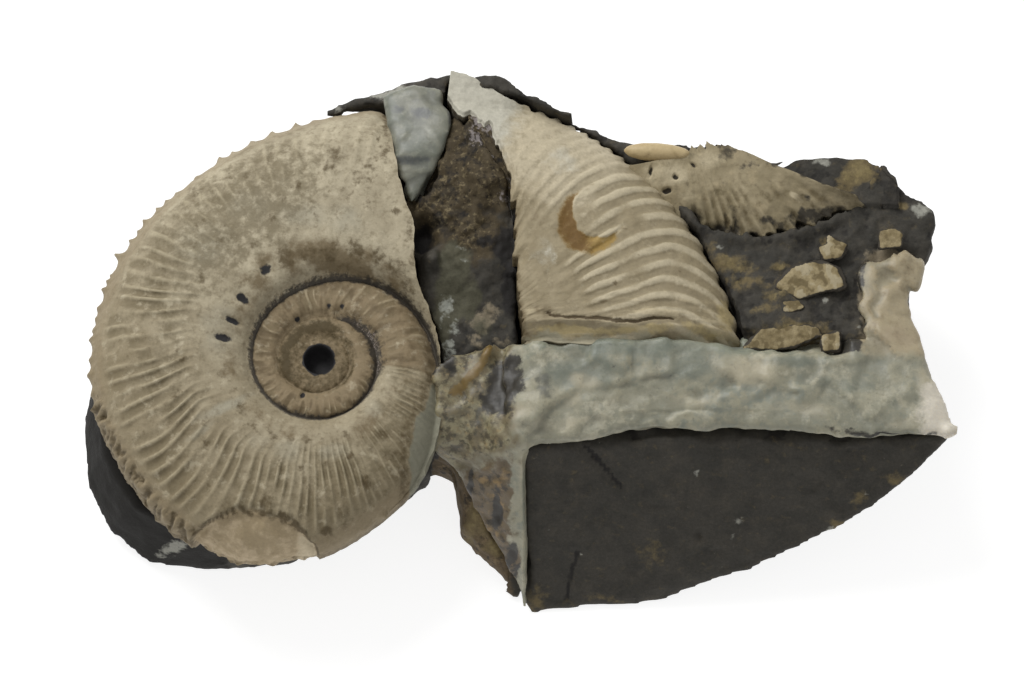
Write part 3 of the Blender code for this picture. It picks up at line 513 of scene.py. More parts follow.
def flankCorner(u, v):
    start, end = flank["headings"]
    straight = start + (end - start) * u
    jagged = (0.7 + 1.3 * ramp(48, 58, straight)) * lumps(straight * 0.7, 0, 0, 2.4, 4)
    inner = along(breakLine, straight) + jagged
    outer = flank["radius"] - 0.8 * ramp(58, 68, straight) + flank["tipReach"] * ramp(72, 83, straight)
    radius = inner + (outer - inner) * (1 - (1 - v) ** 1.5)
    foot = flank["footY"] + 0.6 * lumps(radius, 0, 0, 6.0) * (u > 0.5)
    level = math.degrees(math.asin((foot - flank["centre"][1]) / radius))
    heading = straight + (level - end) * u**3
    share = (radius - flank["seam"]) / (flank["radius"] - flank["seam"])
    tip = ramp(64, 76, heading)
    height = flank["half"] * (0.12 + 0.88 * outerFlank(min(share, 1 - 0.1 * tip)))
    x, y = polar(flank["centre"], heading, radius)
    lean = 33 * max(0.0, share - 0.62) ** 2 * (1 + 1.3 * ramp(36, 12, heading))
    ribAt = heading + lean + 0.7 * lumps(x, y, 3, 8.0)
    fine = max(0.0, ribAt - flank["fineFrom"])
    turn = 2 * math.pi * ((ribAt - fine) / flank["ribPitch"] + fine / flank["finePitch"])
    phase = (0.5 + 0.5 * math.cos(turn - 0.6 * math.sin(turn))) ** 3.4
    reach = 0.22 if heading < 40 else 0.42 - 0.3 * ramp(48, 60, heading)
    ribbed = ramp(reach, reach + 0.34, share) * (0.8 + 0.7 * lumps(x, y, 4, 6.0))
    ribbed *= 1 - 0.4 * ramp(0.955, 1, share)
    ribbed = max(0.0, ribbed) * (1 - 0.6 * ramp(50, 56, heading)) * (1 - tip)
    height += flank["ribHeight"] * ribbed * (phase - 0.25)
    height += 0.13 * lumps(x, y, 1, 1.6, 4) + 0.22 * lumps(x, y, 0, 6.0)
    crease = lumps(x / 6, y * 1.4, 8, 1.5) * ramp(3.5, -1.0, y)
    height += 0.25 * crease
    point = Vector((x, y, flank["midZ"] + height))
    place = layOut(point, 0.6)
    crack = onLine(place, flankCrack, 0.35)
    outside = math.dist(place, scar["outer"][:2]) / scar["outer"][2]
    inside = math.dist(place, scar["inner"][:2]) / scar["inner"][2]
    hook = (1 - ramp(0.75, 1.12, outside)) * ramp(0.97, 1.05, inside)
    height -= 0.4 * hook + 0.3 * crack + 2.8 * ramp(-2.8, -5.6, y) + 0.7 * ramp(0.08, 0.0, v)
    radius += 0.5 * (phase - 0.3) * ramp(0.9, 1, v) * (1 - tip) + 0.2 * lumps(x, y, 5, 1.2) * (v > 0.97)
    x, y = polar(flank["centre"], heading, radius)
    point = Vector((x, y, flank["midZ"] + height))
    place = layOut(point)
    pale = max(inSpots(place, flankPale), 0.9 * tip)
    marks = {"veil": ramp(-4.2, -5.6, y + 1.0 * lumps(x, 0, 3, 4.0)),
             "cream": ramp(40, 54, heading) * ramp(0.45, 0.72, share) * (1 - tip),
             "core": hook * ramp(13.0, 9.0, place[0]), "crease": ramp(0.1, 0.5, crease),
             # groove and crest: painted shade in the rib troughs and a painted highlight on the rib crests
             "groove": (1 - phase) * ribbed, "crest": phase * ribbed, "hook": hook, "pale": pale,
             "stain": max(inSpots(place, flankStains), 0.8 * (1 - ramp(0.0, 0.03, v)) * (1 - tip)),
             "crack": crack, "yellow": inSpots(place, flankYellow),
             "tan": ramp(0.75, 0.98, share) * (1 - tip) * ramp(60, 30, heading)}
    return point, marks


def closeDown(bm, layers, base, mark):
    bmesh.ops.remove_doubles(bm, verts=bm.verts, dist=0.002)
    for depth in (0.4, 1.0, 2.2, None):
        made = bmesh.ops.extrude_edge_only(bm, edges=[e for e in bm.edges if e.is_boundary])["geom"]
        for vert in (v for v in made if isinstance(v, bmesh.types.BMVert)):
            vert.co.z = base if depth is None else max(base, vert.co.z - depth)
            vert[layers[mark]] = 0.8
    bmesh.ops.holes_fill(bm, edges=[e for e in bm.edges if e.is_boundary])
    bmesh.ops.recalc_face_normals(bm, faces=bm.faces)


def buildFlank(material):
    bm = bmesh.new()
    layers = markLayers(bm, "groove crest hook crack pale stain yellow tan veil cream core crease")
    bentGrid(bm, flank["columns"], flank["rows"], layers, flankCorner)
    closeDown(bm, layers, flank["baseZ"], "stain")
    finishPiece("secondAmmonite", bm, material, "ammonite_flank")


# the fan of the third ammonite
fan = {"centre": (24.5, 33.0), "headings": (-29.0, -130.0), "topZ": 28.0, "edgeZ": 24.7, "baseZ": 22.0,
       "ribs": 24, "ribHeight": 0.42, "columns": 260, "rows": 60, "room": -1.7}
fanInner = ((-130, 12.0), (-119, 10.4), (-105, 9.0), (-93, 8.4), (-84, 7.4), (-61.5, 7.3), (-46.3, 9.0),
            (-39.7, 11.4), (-36.6, 13.4), (-34.5, 17.0), (-32.3, 20.6), (-30.5, 25.0), (-29, 30.0))
fanEdge = ((-130, 15.0), (-119, 15.5), (-100, 17.0), (-86, 17.5), (-80, 18.4), (-66, 21.8), (-54, 24.0),
           (-43, 26.5), (-32, 29.0), (-29, 30.6))
fanHoles = spots(
    "26.2 26.4 0.6 0.3 1, 23.2 25 0.4 0.5 0.9, 22.3 22.4 0.5 0.4 1, 19.8 25.5 0.4 0.9 0.9 3")
fanStains = spots(
    "30.6 28.5 0.8 1.2 0.7 2, 30.4 22.3 1.3 0.6 0.6, 23.7 20.2 2.1 0.9 0.35, 27.3 19.1 2.1 1.1 0.55, "
    "33 20.4 0.8 1.8 0.4 2, 35.5 18.9 0.8 2.1 0.5 3, 37.8 21.1 0.8 2.1 0.45 35, 40.8 18.9 0.6 1.8 0.5 45, "
    "42.3 21.8 0.9 0.6 0.7, 44.1 19.9 0.6 1.8 0.5 5, 48 20.7 0.6 1.5 0.5 5, 34 25.6 1.8 1.2 0.25, "
    "26.6 24.1 2.4 1.5 0.25")
fanPale = spots(
    "21.9 24.8 3.9 1.9 0.95, 28.8 27.1 2.4 1.8 0.6, 25.8 21.9 2.1 1.2 0.5, 41.5 21.6 1.5 0.6 0.95 -35, "
    "33.3 22.6 1.5 1.8 0.4, 44.5 22.3 1.2 0.8 0.5 -2")
fanDark = spots(
    "32.5 16.8 0.6 2.1 0.9, 29.1 16.2 1.8 1.5 0.9 -3, 35.5 15 1.2 1.2 0.7, 30.9 17.8 0.4 1.5 0.7, "
    "26.7 17.8 0.8 1.2 0.9")


def roomBeforeFlank(heading):
    turn = math.radians(heading)
    dx, dy = fan["centre"][0] - flank["centre"][0], fan["centre"][1] - flank["centre"][1]
    inward = -(dx * math.cos(turn) + dy * math.sin(turn))
    depth = inward**2 - dx**2 - dy**2 + (flank["radius"] + fan["room"]) ** 2
    return inward - math.sqrt(depth) if depth > 0 and inward > 0 else 99.0


def fanCorner(u, v):
    heading = fan["headings"][0] + (fan["headings"][1] - fan["headings"][0]) * u
    inner, edge = along(fanInner, heading), along(fanEdge, heading)
    inner -= 1.1 * lumps(heading, 0, 0, 5.0, 4) * (heading > -84)
    phase = 0.5 + 0.5 * math.cos(2 * math.pi * fan["ribs"] * (u + 0.02 * lumps(u * 60, v * 3, 0, 8.0)))
    scallop = 0.5 * phase - 0.5 + 2.0 * lumps(heading, 3, 0, 5.0)
    radius = inner + (edge - inner) * v + scallop * ramp(0.7, 1, v)
    radius = min(radius, roomBeforeFlank(heading))
    x, y = polar(fan["centre"], heading, radius)
    ribbed = ramp(0.3, 0.75, v) * ramp(-88, -70, heading) * max(0.0, 0.7 + 0.9 * lumps(x, y, 2, 4.0))
    height = fan["edgeZ"] + (fan["topZ"] - fan["edgeZ"]) * (1 - v**2.2)
    pastFlank = math.dist((x, y), flank["centre"]) - flank["radius"]
    height -= 1.2 * (1 - ramp(-1.0, 3.0, pastFlank))
    height += (fan["ribHeight"] * ribbed * (phase - 0.5) + 0.25 * lumps(x, y, 0, 5.0)
               + 0.12 * lumps(x, y, 1, 1.6, 4))
    place = layOut(Vector((x, y, height)))
    hole, dark = inSpots(place, fanHoles), inSpots(place, fanDark)
    height -= 0.5 * hole + 0.9 * dark
    fade = ramp(0.8, 1.05, v + 0.3 * lumps(x, y, 9, 3.0)) * ramp(-100, -86, heading)
    fade = max(fade, 0.8 * ramp(0.2, 0.0, v + 0.3 * lumps(x, y, 12, 2.0)) * ramp(-66, -52, heading))
    # painted shade under the fan's outer edge
    shadeUnderEdge = 0.6 * (v > 0.985) * (pastFlank > 0.3)
    # groove: painted shade between the ribs; dark: dark spots, the fade into the rock and painted shade under
    # the edge
    marks = {"groove": (1 - phase) * ribbed, "dark": max(dark, 0.95 * fade, shadeUnderEdge), "hole": hole,
             "stain": inSpots(place, fanStains), "pale": inSpots(place, fanPale)}
    return Vector((x, y, height)), marks


def buildFan(material):
    bm = bmesh.new()
    layers = markLayers(bm, "groove dark hole stain pale")
    bentGrid(bm, fan["columns"], fan["rows"], layers, fanCorner)
    closeDown(bm, layers, fan["baseZ"], "dark")
    finishPiece("thirdAmmonite", bm, material, "ammonite_fan")


# rock and calcite, from the frame's own solids
def soften(bm, times):
    for _ in range(times):
        bmesh.ops.smooth_vert(bm, verts=bm.verts, factor=0.5,
                              use_axis_x=True, use_axis_y=True, use_axis_z=True)


def remeshed(node, voxel, smoothing):
    source = bmesh.new()
    source.from_mesh(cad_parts[node].data)
    bmesh.ops.remove_doubles(source, verts=source.verts, dist=0.01 * mm)
    mesh = bpy.data.meshes.new("closed")
    source.to_mesh(mesh)
    source.free()
    body = bpy.data.objects.new("closed", mesh)
    bpy.context.scene.collection.objects.link(body)
    modifier = body.modifiers.new("voxels", "REMESH")
    modifier.mode = "VOXEL"
    modifier.voxel_size = voxel * mm
    shaped = bpy.data.meshes.new_from_object(body.evaluated_get(bpy.context.evaluated_depsgraph_get()))
    bm = bmesh.new()
    bm.from_mesh(shaped)
    bpy.data.objects.remove(body)
    bpy.data.meshes.remove(mesh)
    bpy.data.meshes.remove(shaped)
    bmesh.ops.scale(bm, vec=(1 / mm, 1 / mm, 1 / mm), verts=bm.verts)
    soften(bm, smoothing)
    bm.normal_update()
    return bm


def settle(co):  # the same small shifts for the block and the calcite on it
    co.x -= 2.6 * math.exp(-((upView(co) - 5.8) / 4.5) ** 2) * ramp(50, 58, co.x)
    co.y += 1.1 * math.exp(-((co.x - 22) / 20) ** 2) * ramp(8, 25, co.z) * ramp(-10, -15, co.y)
    return co


rock = {"voxel": 0.6, "smooth": 2, "swell": 0.1, "broken": 0.6, "brokenMm": 6.0, "grit": 0.22, "gritMm": 1.6,
        "pitDepth": 3.4}
rockPit = spots("-13.9 15.4 1.9 3 1")
rockKnob = spots("-13 11.9 1.4 1.9 1")
rockFill = ((29, 28.0), (33, 26.6), (36.6, 24.0), (41.4, 21.4), (46.3, 19.2), (50.7, 18.5), (57, 18.5))
rockTan = spots(
    "49.8 22.6 2.4 1.2 0.8 -2, 48.3 21.1 2.1 0.9 0.8 -3, 52.5 25.3 1.2 1.2 0.8, 31.8 11.1 3.6 1.2 0.85 -5, "
    "39 11.2 1.8 0.8 0.75, 30.6 12 1.5 0.9 0.7, 34 8.4 3.9 1.3 0.55 -1, 38.5 6.6 3 1.1 0.65, "
    "36.6 4.3 2.7 0.8 0.5, 55.8 15.4 1.8 1.8 0.65, 51.6 24.1 2.4 1.8 1 2, 49.5 23.6 1.3 1.1 0.95 -3, "
    "53.9 25.8 1.1 1.2 1, 58 20.1 1.1 0.8 0.8, 40.8 0.9 5.7 2.1 0.85 5, 46.5 -0.4 1.6 1.9 0.9, "
    "42.3 8.7 4.5 2.4 0.6, 46.8 13.7 1.8 1.8 0.6, 28.8 13.7 1.2 0.9 0.4, 51.3 -0.6 2.4 1.2 0.4, "
    "-5.7 -24.6 2.1 5.1 0.95 4, -3.1 -30.6 2.4 2.1 1 -2, -7.8 -26.8 1.2 4.5 0.9, -1.9 -23.8 1.2 3.9 0.5, "
    "19.8 -31.8 2.5 1.9 0.42, 51 -23.2 1.9 0.9 0.6 25, 56.1 -20.6 1.6 0.9 0.7 3, "
    "47.5 -27.1 1.5 0.9 0.55 1, 27.3 -38.9 6 0.9 0.4 8, 13.8 -38.5 4.5 0.6 0.35, 4 -38.9 1.1 3 0.5")
rockPale = spots(
    "-51.4 -31 2.7 1.1 0.95 5, -53.7 -32.2 1.5 0.9 0.7, 60 19.2 1.5 1.2 0.9, 45.4 25.3 1.5 0.6 0.8 -1, "
    "30 13.7 0.8 0.6 0.7, 46 5.7 0.8 0.4 0.7, 51 1.8 0.6 0.4 0.7, 16.6 -13.7 0.2 0.2 1, "
    "7.9 -15.3 0.3 0.2 0.8, 4.3 -17.8 0.3 0.3 0.8, 9.6 -32.1 0.3 0.3 0.9, 21.6 -18.6 0.3 0.2 0.8, "
    "26.8 -20.8 0.3 0.6 0.8, 33.3 -27.3 1.2 0.6 0.7 2, 32.1 -29.1 0.4 0.8 0.5, 46.9 -28.1 0.8 0.8 1, "
    "52.5 -22.6 0.4 0.4 1, 45.3 0.1 1.5 0.6 0.5, -19.5 37.4 3.3 1.1 1 1, -21 38.2 2.1 0.9 1 1, "
    "-25.2 35.5 1.8 0.4 0.6 25, -6 34.6 1.5 0.8 0.4")
rockBrown = spots(
    "-10.2 22.6 6 9 1 1, -7.2 28.6 4.5 6.9 1, -7.2 15.9 5.1 5.1 1 -1, -4.2 22.6 3.6 5.1 1, "
    "-13.9 21.1 3 5.1 1 1, -11.7 17.4 3.9 3.6 1")
rockCrystal = spots(
    "-5 30.1 3 2.7 0.9, -6.9 32.9 1.8 1.5 0.7, -2.7 27.1 1.8 2.1 0.8, -1.9 20.4 2.1 1.3 0.6")
# black: partly black rock, partly painted shadow on the strip beside the second shell's inner edge and in the
# pit
rockBlackAndShadow = spots(
    "-1.9 13.7 2.2 3.3 1 -2, -0.9 7.6 1.8 4.8 1 -4, 0.4 2.2 1.3 3 1 -14, -5.1 14.2 2.4 1.1 0.7 -1, "
    "-14.7 22.6 1.2 2.4 0.7 3, -7.2 35.4 2.1 1.2 0.8, -14.2 15.4 1.5 2.4 1")
rockGreen = spots(
    "-9.3 10.9 3 3.6 1, -10.2 6.1 2.7 5.1 1, -7.2 6.1 1.8 3.6 0.8, -11.7 1.6 2.4 3.9 0.8, "
    "-5.1 2.4 2.4 2.4 0.5")
rockWhite = spots(
    "-10.7 5.2 1.6 2.1 0.85 -2, -9.3 1.9 1.3 1.8 0.7, -10.2 -1.1 1.3 2.1 0.75, -7.5 11.8 1.2 0.6 0.6 -3, "
    "-8.4 13.3 1.2 0.4 0.5 -2, -11.7 3.9 0.6 3 0.5")
rockBeige = spots(
    "56.5 12.3 3.6 1.5 1 -15, 54.9 10.3 2.7 2.1 1, 52.2 6.1 1.3 6 0.8, 53.1 11.4 1.8 2.1 0.8, "
    "51.6 0.9 1.5 1.8 0.6, -5.4 2.9 2.1 1.9 0.8, -4.2 4.3 1.5 1.5 0.6, -6.6 0.1 1.8 1.2 0.6, "
    "-2.2 -0.1 2.1 0.9 0.5")
scratchA = ((8.7, -15), (12.3, -18.9), (15.4, -22.4))
scratchB = ((9, -31.6), (7.9, -35.1), (7.2, -38.9))


def buildRock(material):
    bm = remeshed("mudstone", rock["voxel"], rock["smooth"])
    rough = [e for e in bm.edges if all(v.normal.z > 0.2 and v.co.y > -8 and v.co.x > -20 for v in e.verts)]
    bmesh.ops.subdivide_edges(bm, edges=rough, cuts=1, use_grid_fill=True)
    bm.normal_update()
    layers = markLayers(bm, "tan pale brown crystal black green white beige low ledge brim")
    for vert in bm.verts:
        co, n = vert.co.copy(), vert.normal.copy()
        x, y, z = co
        face = ramp(0.35, 0.6, -n.y) * ramp(-1, 2, x) * ramp(-16, -19, y)  # the flat broken face
        ledge = ramp(-42, -46, x) * ramp(17, 15, z)
        calm = max(face, 0.8 * ledge)
        aboutFlank = math.degrees(math.atan2(y - flank["centre"][1], x - flank["centre"][0]))
        fromFlank = math.dist((x, y), flank["centre"])
        into = fromFlank - along(breakLine, aboutFlank)
        atBreak = 19 < z < 31 and 6 < y and -6.5 < into < 3 and 38 < aboutFlank < 79
        top = 1.0 if atBreak else ramp(0.1, 0.45, n.z)
        place = layOut(co)
        between = inSpots(place, rockBrown) * top
        crystal = inSpots(place, rockCrystal) * top
        broken = lumps(x, y, z, rock["brokenMm"], 4)
        grit = lumps(x, y, z + 40, rock["gritMm"], 3)
        shift = (rock["swell"] + rock["broken"] * broken * (1 - 0.7 * calm)
                 + rock["grit"] * grit * (1 - 0.85 * calm))
        shift += (between * 0.8 * lumps(x, y, 7, 2.2, 4)
                  + 0.5 * facets(co, 2.6, 0.5) * max(crystal, 0.5 * between))
        shift += 0.3 * facets(co, 4.5, 0.35) * top * ramp(15, 20, x)
        scratch = face * max(onLine(layOut(co, 0.2), scratchA, 0.7), onLine(layOut(co, 0.2), scratchB, 0.7))
        shift -= 0.3 * scratch
        lift = 1.6 * inSpots(place, rockKnob) * top
        if x > -16 and x < 8 and y > 2:  # the rock between the shells stands as high as they do
            lift += top * (1.4 + 3.2 * ramp(-10, -3, x) * ramp(14, 22, y)) * ramp(2, 8, y) * ramp(-16, -13, x)
        lift += (0.7 * top * ramp(20, 26, x) * ramp(-6, 0, y)
                 - rock["pitDepth"] * inSpots(place, rockPit) * top)
        if z < 0.6:
            n = Vector((n.x, n.y, 0))
        co = settle(co + n * shift)
        co.z = max(0.0, co.z + lift) if z > 0.3 else max(0.0, z)
        if atBreak:  # the rock stands up to the broken edge of the second shell
            rise = 28.2 + 0.5 * broken + 1.6 * ramp(12, 22, y) - 3.0 * ramp(-1.5, -6.5, into)
            co.z = max(co.z, rise)
        if -10 < x < 14 and y > 30 and z > 20:  # only a thin dark edge shows past the second shell's tip
            near = ramp(-10, -7, x) * ramp(14, 9, x) * ramp(30, 33, y)
            co.y -= 0.9 * near
            co.z -= near * (0.8 + 3.2 * ramp(51, 50, fromFlank))
        if y < -16 and -20 < x < 0 and z < 24:
            co.x += 2.2 * ramp(-2, -8, x) * ramp(-16, -18, y) * ramp(-33, -20, y)
        if 30 < x < 46 and y > 20:
            co.y -= 2.2 * ramp(30, 35, x) * ramp(43, 38, x) * ramp(20, 24, y)
        aboutFan = math.degrees(math.atan2(y - fan["centre"][1], x - fan["centre"][0]))
        pastFan = math.dist((x, y), fan["centre"]) - along(fanEdge, aboutFan)
        if abs(pastFan) < 3 and z > 21 and -125 < aboutFan < -33:
            co.z += 0.9 * ramp(3, 0.5, abs(pastFan))
        if y < -19.5 and 0 < x < 7:
            co.x -= 1.8 * ramp(7, 2.5, x)
        if 29 < x < 57 and z > 21 and y > along(rockFill, x) - 0.6:
            co.z = max(co.z, 25.5 + 0.5 * broken)
        if x < -19 and y > 24 and z > 17:  # thin slab behind the first shell
            thin = ramp(-19, -30, x)
            co.x -= 2.6 * thin
            co.y -= 1.3 * thin
        vert.co = co
        side = y < -12 or n.z > 0.1
        # painted shade: darker in the hollows of the broken surface
        low = 0.7 * ramp(0.1, -0.5, broken + grit) * (1 - calm)
        marks = {"ledge": ledge, "brim": ramp(3, -1, x) * ramp(-12, -17, y) * (x > -13), "brown": between,
                 "crystal": crystal, "black": max(inSpots(place, rockBlackAndShadow) * top, 0.55 * scratch),
                 "low": max(inSpots(place, rockPit) * top, low, 0.75 * scratch)}
        for name, table, where in (("tan", rockTan, side), ("pale", rockPale, side),
                                   ("green", rockGreen, top), ("white", rockWhite, top),
                                   ("beige", rockBeige, top)):
            marks[name] = inSpots(place, table) * where
        setMarks(vert, layers, marks)
    bmesh.ops.remove_doubles(bm, verts=bm.verts, dist=0.03)
    finishPiece("mudstoneBlock", bm, material, "mudstone")


vein = {"voxel": 0.48, "smooth": 3, "swell": 0.35, "facetMm": 7.5, "facet": 0.3, "smallMm": 3.0,
        "small": 0.22, "ripple": 0.22, "rippleMm": 2.2, "soften": 2}
veinTop = ((-2, -4.6), (6, -5.2), (10, -4.2), (18, -3.4), (25.6, -4.2), (30, -5.4), (33.6, -6.6),
           (44, -6.9), (70, -6.9))
veinDark = spots(
    "-1.9 -6.6 3.3 3.6 1, -3 -9.6 2.7 1.8 1, -0.6 -3.1 1.5 1.2 0.9, -11.5 -4.8 1.2 1.6 0.7, "
    "-13.8 -5.5 0.8 3.9 1 -5, -9.4 -3.4 0.8 2.1 0.7 -2, -10.7 -1.6 0.8 1.5 0.5 -2, "
    "-7.2 -23.1 0.6 4.2 1 -6, -2.9 -25.6 0.8 3.3 1 -6, -0.9 -31.9 0.8 1.9 1 -2, 0 -34.6 0.6 1.8 0.6 -25, "
    "-8.5 -27.9 0.8 1.2 0.7, 55 -14.4 5.7 0.6 0.9 -1, 60.3 -14.2 3 0.4 0.6 5, 48.3 -13.7 3 0.4 0.5")
veinWedge = spots(
    "-7.5 -11.8 4.5 3 0.6, -5.7 -8.1 2.4 1.5 0.6, 4 -6.8 1.6 2.9 1 16, 3 -4.6 0.9 1.5 0.6 1, "
    "5.7 -8.8 1.2 0.9 0.4")
veinBrown = spots(
    "-7.8 -25.6 1.9 6.9 1 3, -4.2 -27.1 3.8 7.2 1, -0.9 -34 1.3 3.9 1 -14, -6.3 -23.8 2.1 4.2 1, "
    "-3 -31 2.1 2.4 1 -2, -7.2 -19.9 1.2 1.5 0.6, -3.9 -32.9 1.8 1.5 1, -6 -0.6 2.7 1.3 0.7, "
    "-3.6 -1.6 1.5 1.5 0.4")
veinGreen = spots(
    "9.6 -4.6 6.3 3.9 0.9, 12.3 -1.3 9 1.3 0.7 -3, 21.3 -1.6 5.1 2.4 0.8, 25.8 -3.8 3.9 2.7 0.85 -4, "
    "18.3 -7.6 4.5 1.5 0.4, 5.5 -4.6 2.4 3 0.6, 27.3 -8.1 2.4 1.5 0.5 -4, 0.3 -0.6 2.1 1.2 0.5, "
    "-2.7 -12.6 2.4 1.5 0.4, -7.2 -11.8 2.7 2.4 0.5, 1.5 -23.8 0.8 5.1 0.6, 40.8 -3.1 6.3 1.1 0.9, "
    "48.6 -6.8 5.4 1.8 0.6 -2, 54.3 -9.6 3 1.2 0.4 -2, 32.5 -7.6 3.6 0.6 0.5 5")
veinCream = spots(
    "-11.1 -14.8 1.9 3.9 1 1, 34.4 -4.6 4.8 3 0.85 1, 10 -6.5 2.7 1.9 0.8, 8.1 -9.6 2.1 1.5 0.6, "
    "6.3 -12.8 6 1.1 0.6 3, 16.1 -9.6 6 1.5 0.4 1, 62.5 -10 2.4 3.6 1, 61 -5.8 2.1 2.4 0.9, "
    "56.9 2.4 4.2 4.5 0.85, 56.1 8.4 3.9 4.5 0.95 2, 57.3 -1.3 3.6 1.8 0.8, 24.3 -9.6 7.5 1.2 0.5, "
    "42.3 -10.7 7.5 1.5 0.5, 58 -12.6 3.6 1.2 0.6 -1, -0.4 -1.6 2.4 1.5 0.6, 0.3 -11.1 2.4 1.3 0.7, "
    "-1.9 -13.3 3 0.9 0.6 1, 0.9 -19.3 0.8 4.5 0.5, -10.5 -14.8 2.4 2.1 0.5, -2.7 -18.6 1.2 4.2 0.5 -1")
veinPink = spots(
    "57.3 0.4 3.6 1.8 0.8, 54.3 6.1 2.4 2.4 0.4, -3.9 -14.8 2.1 2.7 0.35, -5.7 -8.1 2.1 1.8 0.4")
veinSliver = ((-3.8, -0.3), (-5.5, -3.3), (-7, -5.8), (-8.8, -7.9))


def buildVein(material):
    bm = remeshed("calcite_vein", vein["voxel"], vein["smooth"])
    layers = markLayers(bm, "dark wedge brown green cream pink sliver low tip warm blue left plane")
    for vert in bm.verts:
        co, n = vert.co.copy(), vert.normal.copy()
        place = layOut(co)
        top = ramp(-0.3, 0.2, n.z)
        dark, brown = inSpots(place, veinDark) * top, inSpots(place, veinBrown)
        sliver = onLine(place, veinSliver, 1.1)
        planes = facets(co + 1.2 * noise.noise_vector(co / 4), vein["facetMm"], vein["facet"])
        small = facets(co + 0.5 * noise.noise_vector(co / 2), vein["smallMm"], vein["small"])
        ripple = lumps(co.x, co.y, co.z + 20, vein["rippleMm"], 4)
        shift = (planes + small + vein["ripple"] * ripple) * (0.35 + 0.65 * ramp(-0.5, 0.3, n.z))
        shift *= 1 - 0.6 * (co.z < 22)
        shift += vein["swell"] * (n.z > 0) - 0.4 * dark + 0.5 * sliver
        shift += 0.5 * ramp(2, -2, co.x) * lumps(co.x, co.y, co.z, 1.7, 4)
        if n.z < -0.3:
            shift = 0.0
        left = ramp(-7, -11, co.x) * ramp(-21, -18, co.y)
        front = ramp(-20.6, -22.5, co.y)
        co = settle(co + n * shift)
        co.x -= 1.8 * left + 1.6 * front * ramp(0, 3, co.x)
        if n.y < -0.2 and co.x > 2 and co.z > 22:
            co.y += 0.4 * lumps(co.x, 0, 9, 2.5)
        co.y += 1.4 * ramp(8, 18, co.x) * ramp(50, 38, co.x) * ramp(-15, -18, co.y)
        if co.x > 50 and co.y > -6:  # the patch at the right edge
            co.y += (2.4 * ramp(57, 52, co.x) - 2.4 * ramp(57.5, 60.8, co.x)) * ramp(1, 6, co.y)
            co.y += 1.0 * lumps(co.x, 0, 6, 2.5) * ramp(1, 6, co.y)
            co.x -= (0.5 - 2.4 * lumps(0, co.y, 4, 4.0)) * ramp(57, 53, co.x) * ramp(-6, -3, co.y)
        under = min(co.y - along(veinTop, co.x), 49.2 - co.x, co.x + 2) + 0.9 * lumps(co.x, co.y, 5, 2.5)
        co.z = max(0.05, co.z - 0.2 * dark + 2.4 * left * top - 5.0 * ramp(-0.8, 2.2, under) * (co.z > 16))
        vert.co = co
        x, y = co.x, co.y
        patchEdge = 0.8 * ramp(52.2, 50.4, x + 1.2 * ripple) * (x > 47) * (y > -6)
        # low: painted shade in the hollows between the broken planes
        marks = {"dark": max(dark, patchEdge), "sliver": sliver,
                 "plane": 0.6 * brokenTone(co, 5.5) + 0.4 * brokenTone(co, 2.2),
                 "brown": max(brown, ramp(-0.4, -1.8, x + 0.9 * ripple) * ramp(-20, -23.5, y)),
                 "low": ramp(0.1, -0.35, planes + small + 0.3 * ripple),
                 "tip": ramp(57, 63, x) * ramp(-8, -13, y) * top, "warm": ramp(48, 53, x) * ramp(-9, -4, y),
                 "left": ramp(1.5, -2.5, x + 0.8 * ripple) * ramp(-23, -20, y),
                 "blue": ramp(-9, -6, y) * ramp(48, 36, x)}
        for name, table in (("wedge", veinWedge), ("green", veinGreen),
                            ("cream", veinCream), ("pink", veinPink)):
            marks[name] = inSpots(place, table)
        setMarks(vert, layers, marks)
    soften(bm, vein["soften"])
    finishPiece("calciteVein", bm, material, "calcite_vein")


wedge = {"voxel": 0.3, "smooth": 3, "step": 0.45, "ripple": 0.16, "soften": 8}
# dark: thin lines along both edges of the wedge are painted shadow; the broader patches are darker calcite
wedgeDarkAndEdgeShadow = spots(
    "-13.5 34.2 2.2 1.1 0.9, -17.2 34.6 1.8 0.8 0.7 1, -15 27 3.3 0.8 0.8 5, -18.1 25.3 0.6 4.2 0.8 18, "
    "-9.4 33.1 0.4 3.9 0.8, -11.7 24.9 0.4 3 0.7 -25, -18.9 31.6 0.3 3.3 0.6 5, -15.6 21.1 1.1 1.2 0.5")
wedgePale = spots(
    "-10.9 36.8 2.4 0.9 0.6, -15.4 35.5 0.9 2.1 0.6 -1, -16.2 30.9 2.4 2.1 0.5, -15.4 24.4 1.8 0.9 0.7, "
    "-11.7 30.9 1.8 2.1 0.4")


def buildWedge(material):
    bm = remeshed("calcite_wedge", wedge["voxel"], wedge["smooth"])
    layers = markLayers(bm, "dark pale low")
    for vert in bm.verts:
        co = vert.co.copy()
        place = layOut(co, 0.7)
        ripple = lumps(co.x, co.y, co.z, 3.0, 3)
        planes = facets(co, 4.0, 0.35)
        down = wedge["step"] * ramp(24.6, 23.6, co.y + 0.5 * ripple)
        aside = 0.8 + 0.9 * ramp(30, 22, co.y) * ramp(-12.5, -15, co.x)
        vert.co = co + vert.normal * (0.35 + wedge["ripple"] * ripple + planes) - Vector((aside, 0, down))
        # low: painted shade in the hollows
        setMarks(vert, layers, {"dark": inSpots(place, wedgeDarkAndEdgeShadow), "pale": inSpots(place, wedgePale),
                                "low": ramp(0.1, -0.5, ripple + planes)})
    soften(bm, wedge["soften"])
    finishPiece("calciteWedge", bm, material, "calcite_wedge")


